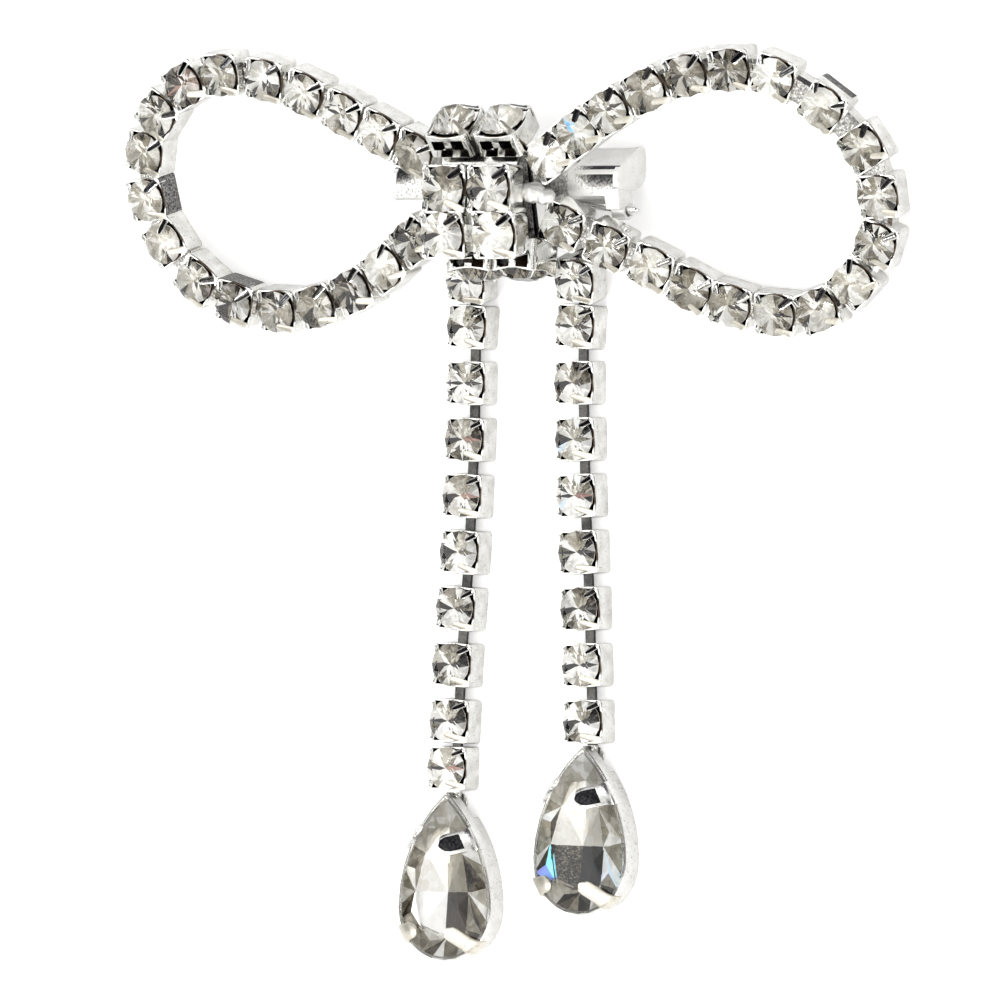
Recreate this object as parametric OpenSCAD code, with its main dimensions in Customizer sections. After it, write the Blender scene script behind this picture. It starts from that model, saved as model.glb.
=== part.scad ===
// Bow brooch of glass stones in plated metal cups, lying face up on a flat surface.
// Millimetres. +X is the bow's right as seen from the front, +Y its top, +Z out of its front.
// The surface is Z = 0. The origin is on the back edge of the pin bar, which rests there.

/* [Bow loops] */
// Reach of the left loop, from the middle of the knot to its outermost stone
left_loop_reach = 34.2; // [28:0.1:40]
// Reach of the right loop, from the middle of the knot to its outermost stone
right_loop_reach = 35.4; // [28:0.1:40]
// Height of the loops above and below the middle of the knot
loop_half_height = 10.5; // [9:0.1:13]
// Distance from stone to stone along the loops
loop_pitch = 4.1; // [3.8:0.05:5]
// Lean of the whole bow, with its upper edge lifted off the surface
bow_lean = 13; // [8:0.5:15]
// Droop of the left loop towards the surface
left_droop = 5.5; // [2:0.5:6]
// Droop of the right loop towards the surface
right_droop = 5.5; // [2:0.5:6]
// Height of the back of the bow over the surface, at the middle of the knot
bow_lift = 5.7; // [5.6:0.1:6.5]

/* [Chain cups] */
// Side of a square cup of the loops and tails
cup_side = 3.7; // [3.4:0.05:3.8]
// Height of a cup's wall
cup_height = 2.2; // [2.0:0.05:2.6]
// Thickness of a cup's floor
cup_floor = 0.3; // [0.2:0.05:0.35]
// Cut corner of a cup
cup_corner = 0.35; // [0.1:0.05:0.5]
// Diameter of a round stone of the loops and tails
stone_d = 3.35; // [2.8:0.05:3.4]
// Width of a prong folded over a stone
prong_w = 0.6; // [0.4:0.05:0.7]
// Thickness of a prong
prong_t = 0.28; // [0.15:0.01:0.4]

/* [Knot] */
// Side of a square cup of the knot
knot_cup_side = 4.1; // [3.9:0.1:4.4]
// Diameter of a round stone of the knot
knot_stone_d = 3.7; // [3.2:0.05:3.8]
// Height of the stones in the knot's front row over the surface
knot_rise = 10.8; // [10.6:0.1:12.5]
// Width of the solid middle of the knot, under its cups
knot_core_w = 7.2; // [6:0.1:7.6]

/* [Tails] */
// Distance from cup to cup where a tail is drawn out
tail_pitch = 4.70; // [4.6:0.02:5]
// Distance from cup to cup where a tail is pushed together
closed_pitch = 3.95; // [3.9:0.01:4.1]
// Cups in the left tail
left_tail_cups = 10; // [4:1:14]
// Cups in the right tail
right_tail_cups = 9; // [4:1:14]
// Width of the flat link between two cups
link_w = 0.8; // [0.6:0.05:0.9]
// Thickness of the flat link
link_t = 0.36; // [0.25:0.01:0.38]

/* [Pear drops] */
// Widest part of a pear setting
pear_w = 8.9; // [7:0.1:10]
// Length of a pear setting
pear_l = 14.1; // [12:0.1:17]
// Height of a pear setting's wall
pear_height = 2.5; // [2.3:0.1:3.2]
// Thickness of a pear setting's wall and floor
pear_wall = 0.4; // [0.3:0.05:0.6]
// Width of a pear prong
pear_prong_w = 1.4; // [0.8:0.05:1.6]

/* [Pin] */
// Length of the pin bar
bar_length = 21; // [18:0.1:26]
// Height of the front face of the bar
bar_height = 2.3; // [1.8:0.1:2.6]
// Depth of the bar behind the bow
bar_depth = 5.5; // [5.4:0.1:5.8]
// Thickness of the bar's sheet
bar_sheet = 0.45; // [0.35:0.05:0.6]
// Diameter of the pin wire
pin_d = 0.95; // [0.7:0.05:1.1]

/* [Clearances] */
// Gap between a stone and its cup, and between a link and its slot
fit_gap = 0.12; // [0.1:0.01:0.15]
// Gap between soldered groups that are modelled as separate pieces
joint_gap = 0.15; // [0.1:0.01:0.2]

/* [Hidden] */

SILVER = "Gainsboro";
GLASS = "AliceBlue";
SMOOTH = 48;

// Routes of the loops, chosen along each loop from the upper strand round to the lower one.
// Columns: share of the way from the loop's root, beside the knot, to its outermost stone,
// share of the loop's half height.
LEFT_ROUTE = [[0.000, 0.327], [0.232, 0.623], [0.487, 0.891], [0.776, 0.905], [0.973, 0.446],
              [0.993, -0.245], [0.820, -0.819], [0.538, -0.978], [0.270, -0.785], [0.044, -0.385]];
RIGHT_ROUTE = [[0.004, 0.295], [0.207, 0.640], [0.461, 0.910], [0.729, 0.869], [0.978, 0.283],
               [0.986, -0.491], [0.783, -1.009], [0.516, -0.951], [0.284, -0.628], [0.023, -0.270]];
loop_root = 1.5 * knot_cup_side;

// Rows of the knot, from the one that faces up over the top to the one tucked underneath.
// Columns: middle across, height over the middle, depth behind the front row, lean of the
// row's face, distance between its two stones. Lengths are shares of the knot's cup.
KNOT_ROWS = [[0.08, 1.42, 0.42, 50, 1.13],
             [0.03, 0.00, 0.00, 2, 1.05],
             [0.06, -0.94, 0.04, -8, 1.20],
             [0.29, -1.66, 1.07, -82, 1.03]];

// Places of the tails across, at shares of the left tail's drawn-out length from its first cup.
// Columns: share of that length, distance from the middle of the knot.
LEFT_TAIL = [[0.0, -4.1], [0.1, -4.6], [0.33, -4.8], [0.56, -5.3], [0.79, -6.05], [1.0, -6.5]];
RIGHT_TAIL = [[0.0, 6.4], [0.1, 5.8], [0.22, 5.7], [0.45, 5.9], [0.68, 6.3], [0.9, 6.55], [1.0, 6.5]];
TAIL_TOP = -7.05;
TAIL_LEAN = 15.5;
LEFT_PEAR_TURN = -1;
RIGHT_PEAR_TURN = -2;

// Heights in a cup, from its back. The stone's girdle lies a little over the rim of the cup, and
// only its pavilion goes down into the pocket.
stone_r = stone_d / 2;
knot_stone_r = knot_stone_d / 2;
girdle_over = 0.28;
girdle_z = cup_height + girdle_over;
pocket_inset = 0.15;
pavilion_share = 0.82;
crown_share = 0.38;
table_share = 0.55;
link_z = cup_floor + fit_gap;
slot_h = link_t + 2 * fit_gap;
head_w = link_w * 1.7;
head_l = 0.38;
wall_inset = 0.75;

function crown_h(r) = r * crown_share;
function pocket_r(r) = r - pocket_inset;

// The bar's section and its place behind the bow
plate_t = 0.4;
bar_front = -plate_t - 3 * joint_gap;
bar_top = 1.5;
bar_left = -9.6;
bend_r = 0.7;
foot_y = bar_top * cos(bow_lean) + bow_lift * tan(bow_lean) + bar_top * sin(bow_lean) * tan(bow_lean)
         - bar_sheet / 2;

// Smooth curve through a route
function blend(a, b, c, d, u) =
    0.5 * (2 * b + (c - a) * u + (2 * a - 5 * b + 4 * c - d) * u * u + (3 * b - a - 3 * c + d) * u * u * u);
function beyond(route, i) =
    let (last = len(route) - 1)
    i < 0 ? 2 * route[0] - route[1] : i > last ? 2 * route[last] - route[last - 1] : route[i];
function on_route(route, t) =
    let (i = min(floor(t), len(route) - 2))
    blend(beyond(route, i - 1), route[i], route[i + 1], beyond(route, i + 2), t - i);
function step_lengths(route, fine) =
    [for (k = [1 : fine])
        norm(on_route(route, k * (len(route) - 1) / fine) - on_route(route, (k - 1) * (len(route) - 1) / fine))];
function total(list) = list * [for (x = list) 1];

// Loop cups: each place is [x, y, heading]
function loop_route(shares, reach) =
    [for (p = shares) [loop_root + p[0] * (reach - loop_root), p[1] * loop_half_height]];
function loop_count(route) = round(total(step_lengths(route, 90)) / loop_pitch);
function loop_places(route) =
    let (gaps = loop_count(route), stride = (len(route) - 1) / gaps)
    [for (k = [0 : gaps])
        let (p = on_route(route, k * stride),
             ahead = on_route(route, min((k + 0.4) * stride, len(route) - 1)),
             behind = on_route(route, max((k - 0.4) * stride, 0)),
             way = ahead - behind)
        [p[0], p[1], atan2(way[1], way[0])]];

left_places = loop_places(loop_route(LEFT_ROUTE, left_loop_reach));
right_places = loop_places(loop_route(RIGHT_ROUTE, right_loop_reach));

// Tail cups: each place is [x, y, z, heading, lean]
// The first cup of a tail leans, so the second one starts a little farther away
left_closed = [1, left_tail_cups - 1];
right_closed = [1];
lean_room = 0.65 * cup_height * sin(TAIL_LEAN);
tail_reach = (left_tail_cups - 3) * tail_pitch + 2 * closed_pitch + lean_room;
function shut(k, closed) = len([for (c = closed) if (c <= k && c > 0) c]);
function tail_fall(k, closed) =
    k * tail_pitch - shut(k, closed) * (tail_pitch - closed_pitch) + (k > 0 ? lean_room : 0);
function tail_x(table, fall) = lookup(fall / tail_reach, table);
function tail_places(table, cups, closed) =
    [for (k = [0 : cups - 1])
        let (fall = tail_fall(k, closed),
             reach = 0.6 * tail_pitch,
             side = tail_x(table, fall + reach) - tail_x(table, max(fall - reach, 0)))
        [tail_x(table, fall), TAIL_TOP - fall, k == 0 ? first_lift : 0,
         atan2(side, fall + reach - max(fall - reach, 0)), k == 0 ? TAIL_LEAN : 0]];
first_lift = 4 * sin(TAIL_LEAN);

left_tail = tail_places(LEFT_TAIL, left_tail_cups, left_closed);
right_tail = tail_places(RIGHT_TAIL, right_tail_cups, right_closed);

// Frames of reference
module on_surface() {
    translate([0, -foot_y, 0]) children();
}

module on_bow() {
    on_surface() translate([0, 0, bow_lift]) rotate([bow_lean, 0, 0]) children();
}

module on_left_loop() {
    on_bow() rotate([0, -left_droop, 0]) mirror([1, 0, 0]) children();
}

module on_right_loop() {
    on_bow() rotate([0, right_droop, 0]) children();
}

module at_place(p) {
    translate([p[0], p[1], 0]) rotate([0, 0, p[2]]) children();
}

module at_tail(p) {
    translate([p[0], p[1], p[2]]) rotate([0, 0, p[3]]) rotate([p[4], 0, 0]) children();
}

module at_knot(row, column) {
    r = KNOT_ROWS[row];
    side = knot_cup_side;
    translate([(r[0] + (column - 0.5) * r[4]) * side, r[1] * side, knot_rise - r[2] * side])
        rotate([-r[3], 0, 0])
            translate([0, 0, -girdle_z]) children();
}

// One cup: a square outline with cut corners
module cup_block(side) {
    half = side / 2;
    cut = half - cup_corner;
    linear_extrude(cup_height)
        polygon([[half, -cut], [half, cut], [cut, half], [-cut, half],
                 [-half, cut], [-half, -cut], [-cut, -half], [cut, -half]]);
}

module cup_pocket(r) {
    translate([0, 0, cup_floor]) cylinder(h = cup_height, r = pocket_r(r), $fn = SMOOTH);
}

// Four prongs that stand on the corners of a cup and fold in over the crown of a stone
post_t = 0.32;
module cup_prongs(side, r) {
    slope = atan(crown_share / (1 - table_share));
    post_out = (side - cup_corner) / sqrt(2) - prong_t / 2;
    fold_out = post_out - prong_t / 2;
    fold_in = r * 0.7;
    over = girdle_z + fit_gap / cos(slope);
    for (corner = [45, 135, 225, 315])
        rotate([0, 0, corner]) {
            translate([post_out - post_t, -prong_w / 2, cup_height - post_t])
                cube([post_t, prong_w, over - cup_height + post_t - (fold_out - post_t - r) * tan(slope)]);
            translate([r, 0, over])
                rotate([0, slope, 0])
                    translate([(fold_in - r) / cos(slope), -prong_w / 2, 0])
                        cube([(fold_out - fold_in) / cos(slope), prong_w, prong_t]);
        }
}

// A brilliant of 25 crown facets with a cone of 16 pavilion facets, at its height in a cup
module round_stone(r) {
    facets = 16;
    table_z = girdle_z + crown_h(r);
    culet_z = girdle_z - r * pavilion_share;
    table = [for (i = [0 : 7]) [r * table_share * cos(45 * i), r * table_share * sin(45 * i), table_z]];
    girdle = [for (i = [0 : facets - 1]) [r * cos(22.5 * i), r * sin(22.5 * i), girdle_z]];
    culet = [[0, 0, culet_z]];
    polyhedron(
        points = concat(table, girdle, culet),
        faces = concat(
            [[for (i = [7 : -1 : 0]) i]],
            [for (i = [0 : 7]) [i, (i + 1) % 8, 8 + 2 * i + 1]],
            [for (i = [0 : 7]) [i, 8 + 2 * i + 1, 8 + 2 * i]],
            [for (i = [0 : 7]) [i, 8 + 2 * i, 8 + (2 * i + facets - 1) % facets]],
            [for (i = [0 : facets - 1]) [24, 8 + i, 8 + (i + 1) % facets]]));
}

// A loop of cups soldered edge to edge. Every other cup sits a hair higher than its neighbours.
cup_step = 0.03;
module at_loop(places, k) {
    at_place(places[k]) translate([0, 0, k % 2 * cup_step]) children();
}

module loop_cup(places, k) {
    at_loop(places, k) {
        difference() {
            cup_block(cup_side);
            cup_pocket(stone_r);
        }
        cup_prongs(cup_side, stone_r);
    }
}

module loop_middle(places) {
    last = len(places) - 1;
    for (k = [1 : last - 1]) loop_cup(places, k);
    for (k = [0 : last - 1]) solder_bar(places[k], places[k + 1]);
}

// The first and last cup, with a bar from each that runs in to the side of the knot
module loop_ends(places) {
    for (k = [0, len(places) - 1]) {
        loop_cup(places, k);
        solder_bar(places[k], [0, places[k][1] * 0.3]);
    }
}

// A bar between the walls of two cups, which stays clear of their pockets
module solder_bar(a, b) {
    way = [b[0] - a[0], b[1] - a[1]];
    bar_w = cup_side - 2 * cup_corner + 0.1;
    bar_z = 0.35;
    inset = pocket_r(stone_r) + 0.05;
    translate([a[0], a[1], 0])
        rotate([0, 0, atan2(way[1], way[0])])
            translate([inset, -bar_w / 2, bar_z])
                cube([norm(way) - 2 * inset, bar_w, cup_height * 0.6]);
}

module loop_stones(places) {
    for (k = [0 : len(places) - 1]) at_loop(places, k) round_stone(stone_r);
}

// The knot: four rows of two cups on a solid middle, with a plate at the back
function row_base(row) =
    let (r = KNOT_ROWS[row], side = knot_cup_side)
    [r[1] * side - girdle_z * sin(r[3]), knot_rise - r[2] * side - girdle_z * cos(r[3])];

module knot_blocks(grow) {
    for (row = [0 : len(KNOT_ROWS) - 1])
        for (column = [0, 1])
            at_knot(row, column)
                translate([0, 0, -grow])
                    linear_extrude(girdle_z + crown_h(knot_stone_r) + prong_t + 2 * grow)
                        square(knot_cup_side + 2 * grow, center = true);
}

module knot_core(grow) {
    sink = 0.2;
    top = row_base(0);
    bottom = row_base(3);
    back_top = 0.25 + bow_lift + top[0] * tan(bow_lean);
    back_bottom = 0.25 + bow_lift + bottom[0] * tan(bow_lean);
    outline = [[top[0] + sink, top[1] + grow + sink],
               [row_base(1)[0], row_base(1)[1] + sink + grow],
               [row_base(2)[0], row_base(2)[1] + sink + grow],
               [bottom[0] - sink - grow, bottom[1] + knot_cup_side * 0.4],
               [bottom[0] - sink - grow, back_bottom - grow],
               [top[0] + sink, back_top - grow]];
    rotate([90, 0, 90])
        translate([0, 0, -knot_core_w / 2 - grow])
            linear_extrude(knot_core_w + 2 * grow) polygon(outline);
}

// A plate across the back of the knot, with a cross bar that the tails are hung from. The cross
// bar lies far enough back to pass behind the ends of the drooping loops.
plate_top = 3.0;
plate_bottom = -4.6;
cross_left = -5.3;
cross_right = 6.3;
cross_h = 1.1;
cross_z = -joint_gap - cross_right * sin(max(left_droop, right_droop)) - plate_t;
module knot_plate() {
    plate_z = -joint_gap - plate_t;
    translate([0, 0, bow_lift]) rotate([bow_lean, 0, 0]) {
        translate([-knot_core_w / 2, plate_bottom, plate_z])
            cube([knot_core_w, plate_top - plate_bottom, plate_t]);
        translate([-knot_core_w / 2, plate_bottom, cross_z])
            cube([knot_core_w, cross_h, plate_z + plate_t - cross_z]);
        translate([cross_left, plate_bottom, cross_z])
            cube([cross_right - cross_left, cross_h, plate_t]);
    }
}

// A strip that hangs from the cross bar and hooks into the first cup of a tail
module tail_hanger(p) {
    slot_z = link_z + link_t / 2;
    hook_out = 0.5;
    mouth = cup_side / 2 + hook_out;
    top_y = plate_bottom + cross_h * 0.4;
    top_z = cross_z + plate_t / 2;
    from = [top_y * cos(bow_lean) - top_z * sin(bow_lean),
            bow_lift + top_y * sin(bow_lean) + top_z * cos(bow_lean)];
    to = [p[1] + mouth * cos(p[4]) - slot_z * sin(p[4]), p[2] + mouth * sin(p[4]) + slot_z * cos(p[4])];
    way = to - from;
    translate([p[0] - link_w / 2, from[0], from[1]])
        rotate([atan2(way[1], way[0]), 0, 0])
            translate([0, 0, -link_t / 2])
                cube([link_w, norm(way) + link_t / 2, link_t]);
    at_tail(p) {
        translate([-link_w / 2, cup_side / 2 - wall_inset, link_z])
            cube([link_w, hook_out + wall_inset + link_t / 2, link_t]);
        translate([-head_w / 2, cup_side / 2 - wall_inset - head_l, link_z])
            cube([head_w, head_l, link_t]);
    }
}

module knot_metal() {
    for (row = [0 : len(KNOT_ROWS) - 1]) {
        for (column = [0, 1])
            at_knot(row, column) {
                difference() {
                    cup_block(knot_cup_side);
                    cup_pocket(knot_stone_r);
                    knot_windows();
                }
                cup_prongs(knot_cup_side, knot_stone_r);
            }
        row_bar(row);
    }
    knot_core(0);
    knot_plate();
    knot_stem();
    tail_hanger(left_tail[0]);
    tail_hanger(right_tail[0]);
}

// A bar between the two cups of a row
module row_bar(row) {
    bar_l = KNOT_ROWS[row][4] * knot_cup_side - 2 * pocket_r(knot_stone_r) - 0.1;
    bar_w = 0.35 * knot_cup_side;
    bar_z = 0.1;
    at_knot(row, 0.5)
        translate([-bar_l / 2, -bar_w / 2, bar_z]) cube([bar_l, bar_w, cup_height * 0.5]);
}

// The stem joins the solid middle of the knot to its back plate
module knot_stem() {
    stem_w = knot_core_w - 1;
    stem_h = 4;
    stem_in = 1.2;
    translate([0, 0, bow_lift]) rotate([bow_lean, 0, 0])
        translate([-stem_w / 2, -stem_h / 2, -joint_gap - plate_t / 2])
            cube([stem_w, stem_h, joint_gap + plate_t / 2 + stem_in]);
}

// Openings cut in the walls of a knot cup, two in each long side
module knot_windows() {
    window_w = knot_cup_side * 0.28;
    window_h = cup_height * 0.42;
    through = knot_cup_side / 2 + fit_gap;
    for (x = [-0.22, 0.22])
        translate([x * knot_cup_side - window_w / 2, -through, cup_height * 0.37])
            cube([window_w, 2 * through, window_h]);
}

// A tail: loose cups strung on flat links with a cross head inside each cup
module tail_metal(places) {
    for (k = [0 : len(places) - 1])
        at_tail(places[k]) {
            difference() {
                cup_block(cup_side);
                cup_pocket(stone_r);
                for (end = [-1, 1]) link_slot(end, k <= 1 ? slot_room : 0);
            }
            cup_prongs(cup_side, stone_r);
        }
}

// The first link slopes down to the second cup, so it sits higher and its slots are taller
first_rise = 0.2;
slot_room = 0.65;
slot_depth = 0.6;
module link_slot(end, room) {
    wide = link_w + 3 * fit_gap;
    translate([-wide / 2, end * cup_side / 2 - slot_depth, cup_floor])
        cube([wide, 2 * slot_depth, slot_h + room]);
}

// Flat links, from the first cup to the last, and one that holds the eye of the pear
module tail_links(places) {
    for (k = [0 : len(places) - 2]) flat_link(places[k], places[k + 1], k == 0 ? first_rise : 0);
    pear_link(places[len(places) - 1]);
}

// The middle of a link where it leaves its head, inside the wall of a cup
function wall_point(p, end, rise) =
    let (y = end * (cup_side / 2 - wall_inset), z = link_z + link_t / 2 + rise)
    [p[0] - y * sin(p[3]), p[1] + y * cos(p[3]) * cos(p[4]) - z * sin(p[4]),
     p[2] + y * sin(p[4]) + z * cos(p[4])];

module flat_link(a, b, rise) {
    from = wall_point(a, -1, rise);
    to = wall_point(b, 1, rise);
    way = to - from;
    across = norm([way[0], way[1]]);
    translate(from)
        rotate([0, 0, atan2(way[1], way[0])])
            rotate([0, -atan2(way[2], across), 0]) {
                translate([0, -link_w / 2, -link_t / 2]) cube([norm(way), link_w, link_t]);
                translate([-head_l, -head_w / 2, -link_t / 2]) cube([head_l, head_w, link_t]);
                translate([norm(way), -head_w / 2, -link_t / 2]) cube([head_l, head_w, link_t]);
            }
}

// The last link reaches over the eye at the back of the pear and drops a stud through it
eye_r = 0.85;
stud_r = 0.25;
stud_foot = 0.02;
eye_t = 0.26;
eye_drop = 1.05;
eye_inset = 0.9;
module pear_link(p) {
    top = -cup_side / 2;
    at_tail(p) {
        translate([-link_w / 2, top - eye_drop, link_z]) cube([link_w, eye_drop + wall_inset, link_t]);
        translate([-head_w / 2, top + wall_inset, link_z]) cube([head_w, head_l, link_t]);
        translate([0, top - eye_drop, stud_foot])
            cylinder(h = link_z + link_t - stud_foot, r = stud_r, $fn = SMOOTH);
        translate([0, top - eye_drop, link_z]) cylinder(h = link_t, r = link_w / 2, $fn = SMOOTH);
    }
}

module tail_stones(places) {
    for (p = places) at_tail(p) round_stone(stone_r);
}

// A pear outline: a round end of radius w / 2, with two long arcs that meet in a tip at +Y
function side_r(w, l) = let (r = w / 2, tip = l - r) (r * r + tip * tip) / (2 * r);
function pear_points(w, l, turns) =
    let (r = w / 2, big = side_r(w, l), sweep = asin((l - r) / big))
    concat(
        [for (i = [0 : turns]) let (a = -180 + 180 * i / turns) [r * cos(a), r * sin(a)]],
        [for (i = [1 : turns / 2]) let (a = sweep * 2 * i / turns)
            [r - big + big * cos(a), big * sin(a)]],
        [for (i = [turns / 2 - 1 : -1 : 1]) let (a = sweep * 2 * i / turns)
            [big - r - big * cos(a), big * sin(a)]]);

// The setting's wall is thicker at its tip, and the stone sits inside the wall
pear_tip = pear_l - pear_w / 2;
hollow_w = pear_w - 2 * pear_wall;
hollow_l = pear_l - 2.6 * pear_wall;
glass_w = hollow_w - 2 * fit_gap;
glass_l = hollow_l - 2.4 * fit_gap;
glass_rim = pear_height - 0.1;
glass_crown = 0.95;
module at_pear(p, turn) {
    at_tail([p[0], p[1], 0, p[3], 0])
        translate([0, -cup_side / 2 - eye_drop, 0])
            rotate([0, 0, turn - p[3]])
                translate([0, eye_inset - pear_tip, 0])
                    children();
}

module pear_metal() {
    eye_y = pear_tip - eye_inset;
    notch_w = 4;
    notch_l = 4;
    strap_w = 1;
    strap_l = 1.4;
    difference() {
        linear_extrude(pear_height) polygon(pear_points(pear_w, pear_l, 16));
        translate([0, 0, pear_wall])
            linear_extrude(pear_height) polygon(pear_points(hollow_w, hollow_l, 16));
        translate([-notch_w / 2, eye_y - eye_r - 0.35, -1])
            cube([notch_w, notch_l, 1 + link_z + link_t + fit_gap]);
    }
    difference() {
        union() {
            translate([0, eye_y, 0]) cylinder(h = eye_t, r = eye_r, $fn = SMOOTH);
            translate([-strap_w / 2, eye_y - eye_r - strap_l + 0.2, 0]) cube([strap_w, strap_l, eye_t]);
        }
        translate([0, eye_y, -1]) cylinder(h = 3, r = stud_r + fit_gap, $fn = SMOOTH);
    }
    pear_prongs();
}

// Prongs of a pear setting, two on each side: each stands on the wall and folds in over the
// crown. Columns: height of the prong as a share of the way from the round centre to the tip.
PEAR_PRONGS = [0.62, -0.21];
pear_prong_l = 2.1;
pear_prong_t = 0.32;
pear_prong_slope = 38;
module pear_prongs() {
    r = pear_w / 2;
    big = side_r(pear_w, pear_l);
    root = 0.5;
    for (share = PEAR_PRONGS)
        for (side = [0, 1])
            mirror([side, 0, 0]) {
                y = share * pear_tip;
                a = share > 0 ? asin(y / big) : asin(y / r);
                x = share > 0 ? r - big + big * cos(a) : r * cos(a);
                translate([x, y, pear_height])
                    rotate([0, 0, a])
                        translate([-pear_wall - fit_gap, 0, fit_gap])
                            rotate([0, pear_prong_slope, 0])
                                translate([root - pear_prong_l, -pear_prong_w / 2, 0])
                                    cube([pear_prong_l, pear_prong_w, pear_prong_t]);
            }
}

// The pear stone: a long table, two rings of crown facets and a keeled pavilion
module pear_glass() {
    turns = 12;
    rim = pear_points(glass_w, glass_l, turns);
    middle = [0, 0.17 * pear_tip];
    count = len(rim);
    function ring(share, z) = [for (p = rim) [middle[0] + (p[0] - middle[0]) * share,
                                              middle[1] + (p[1] - middle[1]) * share, z]];
    rings = [ring(0.5, glass_rim + glass_crown), ring(0.78, glass_rim + 0.65 * glass_crown),
             ring(1, glass_rim), ring(0.5, pear_wall + 0.32 * glass_rim)];
    keel = [middle[0], middle[1], pear_wall + 2 * fit_gap];
    polyhedron(
        points = concat(rings[0], rings[1], rings[2], rings[3], [keel]),
        faces = concat(
            [[for (i = [count - 1 : -1 : 0]) i]],
            [for (k = [0 : 2]) each [for (i = [0 : count - 1])
                [k * count + i, k * count + (i + 1) % count, (k + 1) * count + (i + 1) % count]]],
            [for (k = [0 : 2]) each [for (i = [0 : count - 1])
                [k * count + i, (k + 1) * count + (i + 1) % count, (k + 1) * count + i]]],
            [for (i = [0 : count - 1]) [4 * count, 3 * count + i, 3 * count + (i + 1) % count]]));
}

// The pin bar: one sheet bent to a front face and a flange, with a rounded ear at each end
// Columns of the ear: depth behind the front as a share of the bar's depth, height over the
// bar's top as a share of the bar's height
EAR = [[0.03, 0], [0.34, 0.6], [0.97, 0.03], [0.97, -0.66], [0.88, -0.92], [0.72, -1.06],
       [0.5, -1.08], [0.28, -0.96], [0.03, -0.74]];
bar_right = bar_left + bar_length;
pin_depth = 1.5;
pin_from = [bar_left + 0.25, bar_top - 1.2, bar_front - 2 * pin_depth];
pin_to = [bar_right + 0.75, bar_top - 3.85, bar_front - pin_depth];

module bar_section() {
    arc = [for (i = [0 : 6]) 90 * i / 6];
    inside = bend_r - bar_sheet;
    polygon(concat(
        [[0, -bar_height]],
        [for (a = arc) [bend_r - bend_r * cos(a), -bend_r + bend_r * sin(a)]],
        [[bar_depth, 0], [bar_depth, -bar_sheet]],
        [for (a = arc) [bend_r - inside * sin(a), -bend_r + inside * cos(a)]],
        [[bar_sheet, -bar_height]]));
}

// Turns a section drawn as [depth, height] so that it runs along the bar
module along_bar(x, length) {
    translate([x, bar_top, bar_front])
        rotate([0, 90, 0]) linear_extrude(length) children();
}

// The line of the pin, made thicker and longer by a gap
module pin_line(gap) {
    way = pin_to - pin_from;
    translate(pin_from)
        rotate([0, 0, atan2(way[1], way[0])])
            rotate([0, 90 - atan2(way[2], norm([way[0], way[1]])), 0])
                translate([0, 0, -2 * gap])
                    cylinder(h = norm(way) + 4 * gap, r = pin_d / 2 + gap, $fn = SMOOTH);
}

module bar_metal() {
    difference() {
        union() {
            along_bar(bar_left, bar_length) bar_section();
            for (x = [bar_left, bar_right - bar_sheet])
                along_bar(x, bar_sheet)
                    polygon([for (p = EAR) [p[0] * bar_depth, p[1] * bar_height]]);
            bar_catch();
        }
        pin_line(fit_gap);
    }
}

// The catch: a tab down from the front face, with a block that closes round the pin
module bar_catch() {
    catch_w = 1.4;
    catch_half = pin_d / 2 + 0.35;
    tab_bottom = pin_to[1] + catch_half - bar_sheet;
    tab_h = bar_top - bar_height + bar_sheet - tab_bottom;
    translate([bar_right - catch_w, tab_bottom, bar_front - pin_depth - catch_half])
        cube([catch_w, tab_h, pin_depth + catch_half]);
    translate([bar_right - catch_w, pin_to[1] - catch_half, bar_front - pin_depth - catch_half])
        cube([catch_w, 2 * catch_half, 2 * catch_half]);
}

// Colour, place and trim of each piece
module bow_loop_left() {
    color(SILVER) {
        on_left_loop() loop_middle(left_places);
        difference() {
            on_left_loop() loop_ends(left_places);
            on_surface() knot_space();
        }
    }
}

module bow_loop_right() {
    color(SILVER) {
        on_right_loop() loop_middle(right_places);
        difference() {
            on_right_loop() loop_ends(right_places);
            on_surface() knot_space();
        }
    }
}

// Space kept clear of the ends of the loops, round the knot and the stem behind it
module knot_space() {
    half = knot_core_w / 2 + joint_gap;
    behind = 2 * plate_t;
    knot_blocks(joint_gap);
    knot_core(joint_gap);
    translate([0, 0, bow_lift]) rotate([bow_lean, 0, 0])
        translate([-half, plate_bottom, -behind])
            cube([2 * half, plate_top - plate_bottom, behind + cup_height]);
}

module bow_stones_left() {
    color(GLASS) on_left_loop() loop_stones(left_places);
}

module bow_stones_right() {
    color(GLASS) on_right_loop() loop_stones(right_places);
}

module knot_setting() {
    color(SILVER) on_surface() knot_metal();
}

module knot_stone(number) {
    color(GLASS) on_surface() at_knot(floor(number / 2), number % 2) round_stone(knot_stone_r);
}

module tail_left_cups() {
    color(SILVER) on_surface() tail_metal(left_tail);
}

module tail_left_links() {
    color(SILVER) on_surface() tail_links(left_tail);
}

module tail_left_stones() {
    color(GLASS) on_surface() tail_stones(left_tail);
}

module tail_right_cups() {
    color(SILVER) on_surface() tail_metal(right_tail);
}

module tail_right_links() {
    color(SILVER) on_surface() tail_links(right_tail);
}

module tail_right_stones() {
    color(GLASS) on_surface() tail_stones(right_tail);
}

module pear_setting_left() {
    color(SILVER) on_surface() at_pear(left_tail[left_tail_cups - 1], LEFT_PEAR_TURN) pear_metal();
}

module pear_stone_left() {
    color(GLASS) on_surface() at_pear(left_tail[left_tail_cups - 1], LEFT_PEAR_TURN) pear_glass();
}

module pear_setting_right() {
    color(SILVER) on_surface() at_pear(right_tail[right_tail_cups - 1], RIGHT_PEAR_TURN) pear_metal();
}

module pear_stone_right() {
    color(GLASS) on_surface() at_pear(right_tail[right_tail_cups - 1], RIGHT_PEAR_TURN) pear_glass();
}

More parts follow.
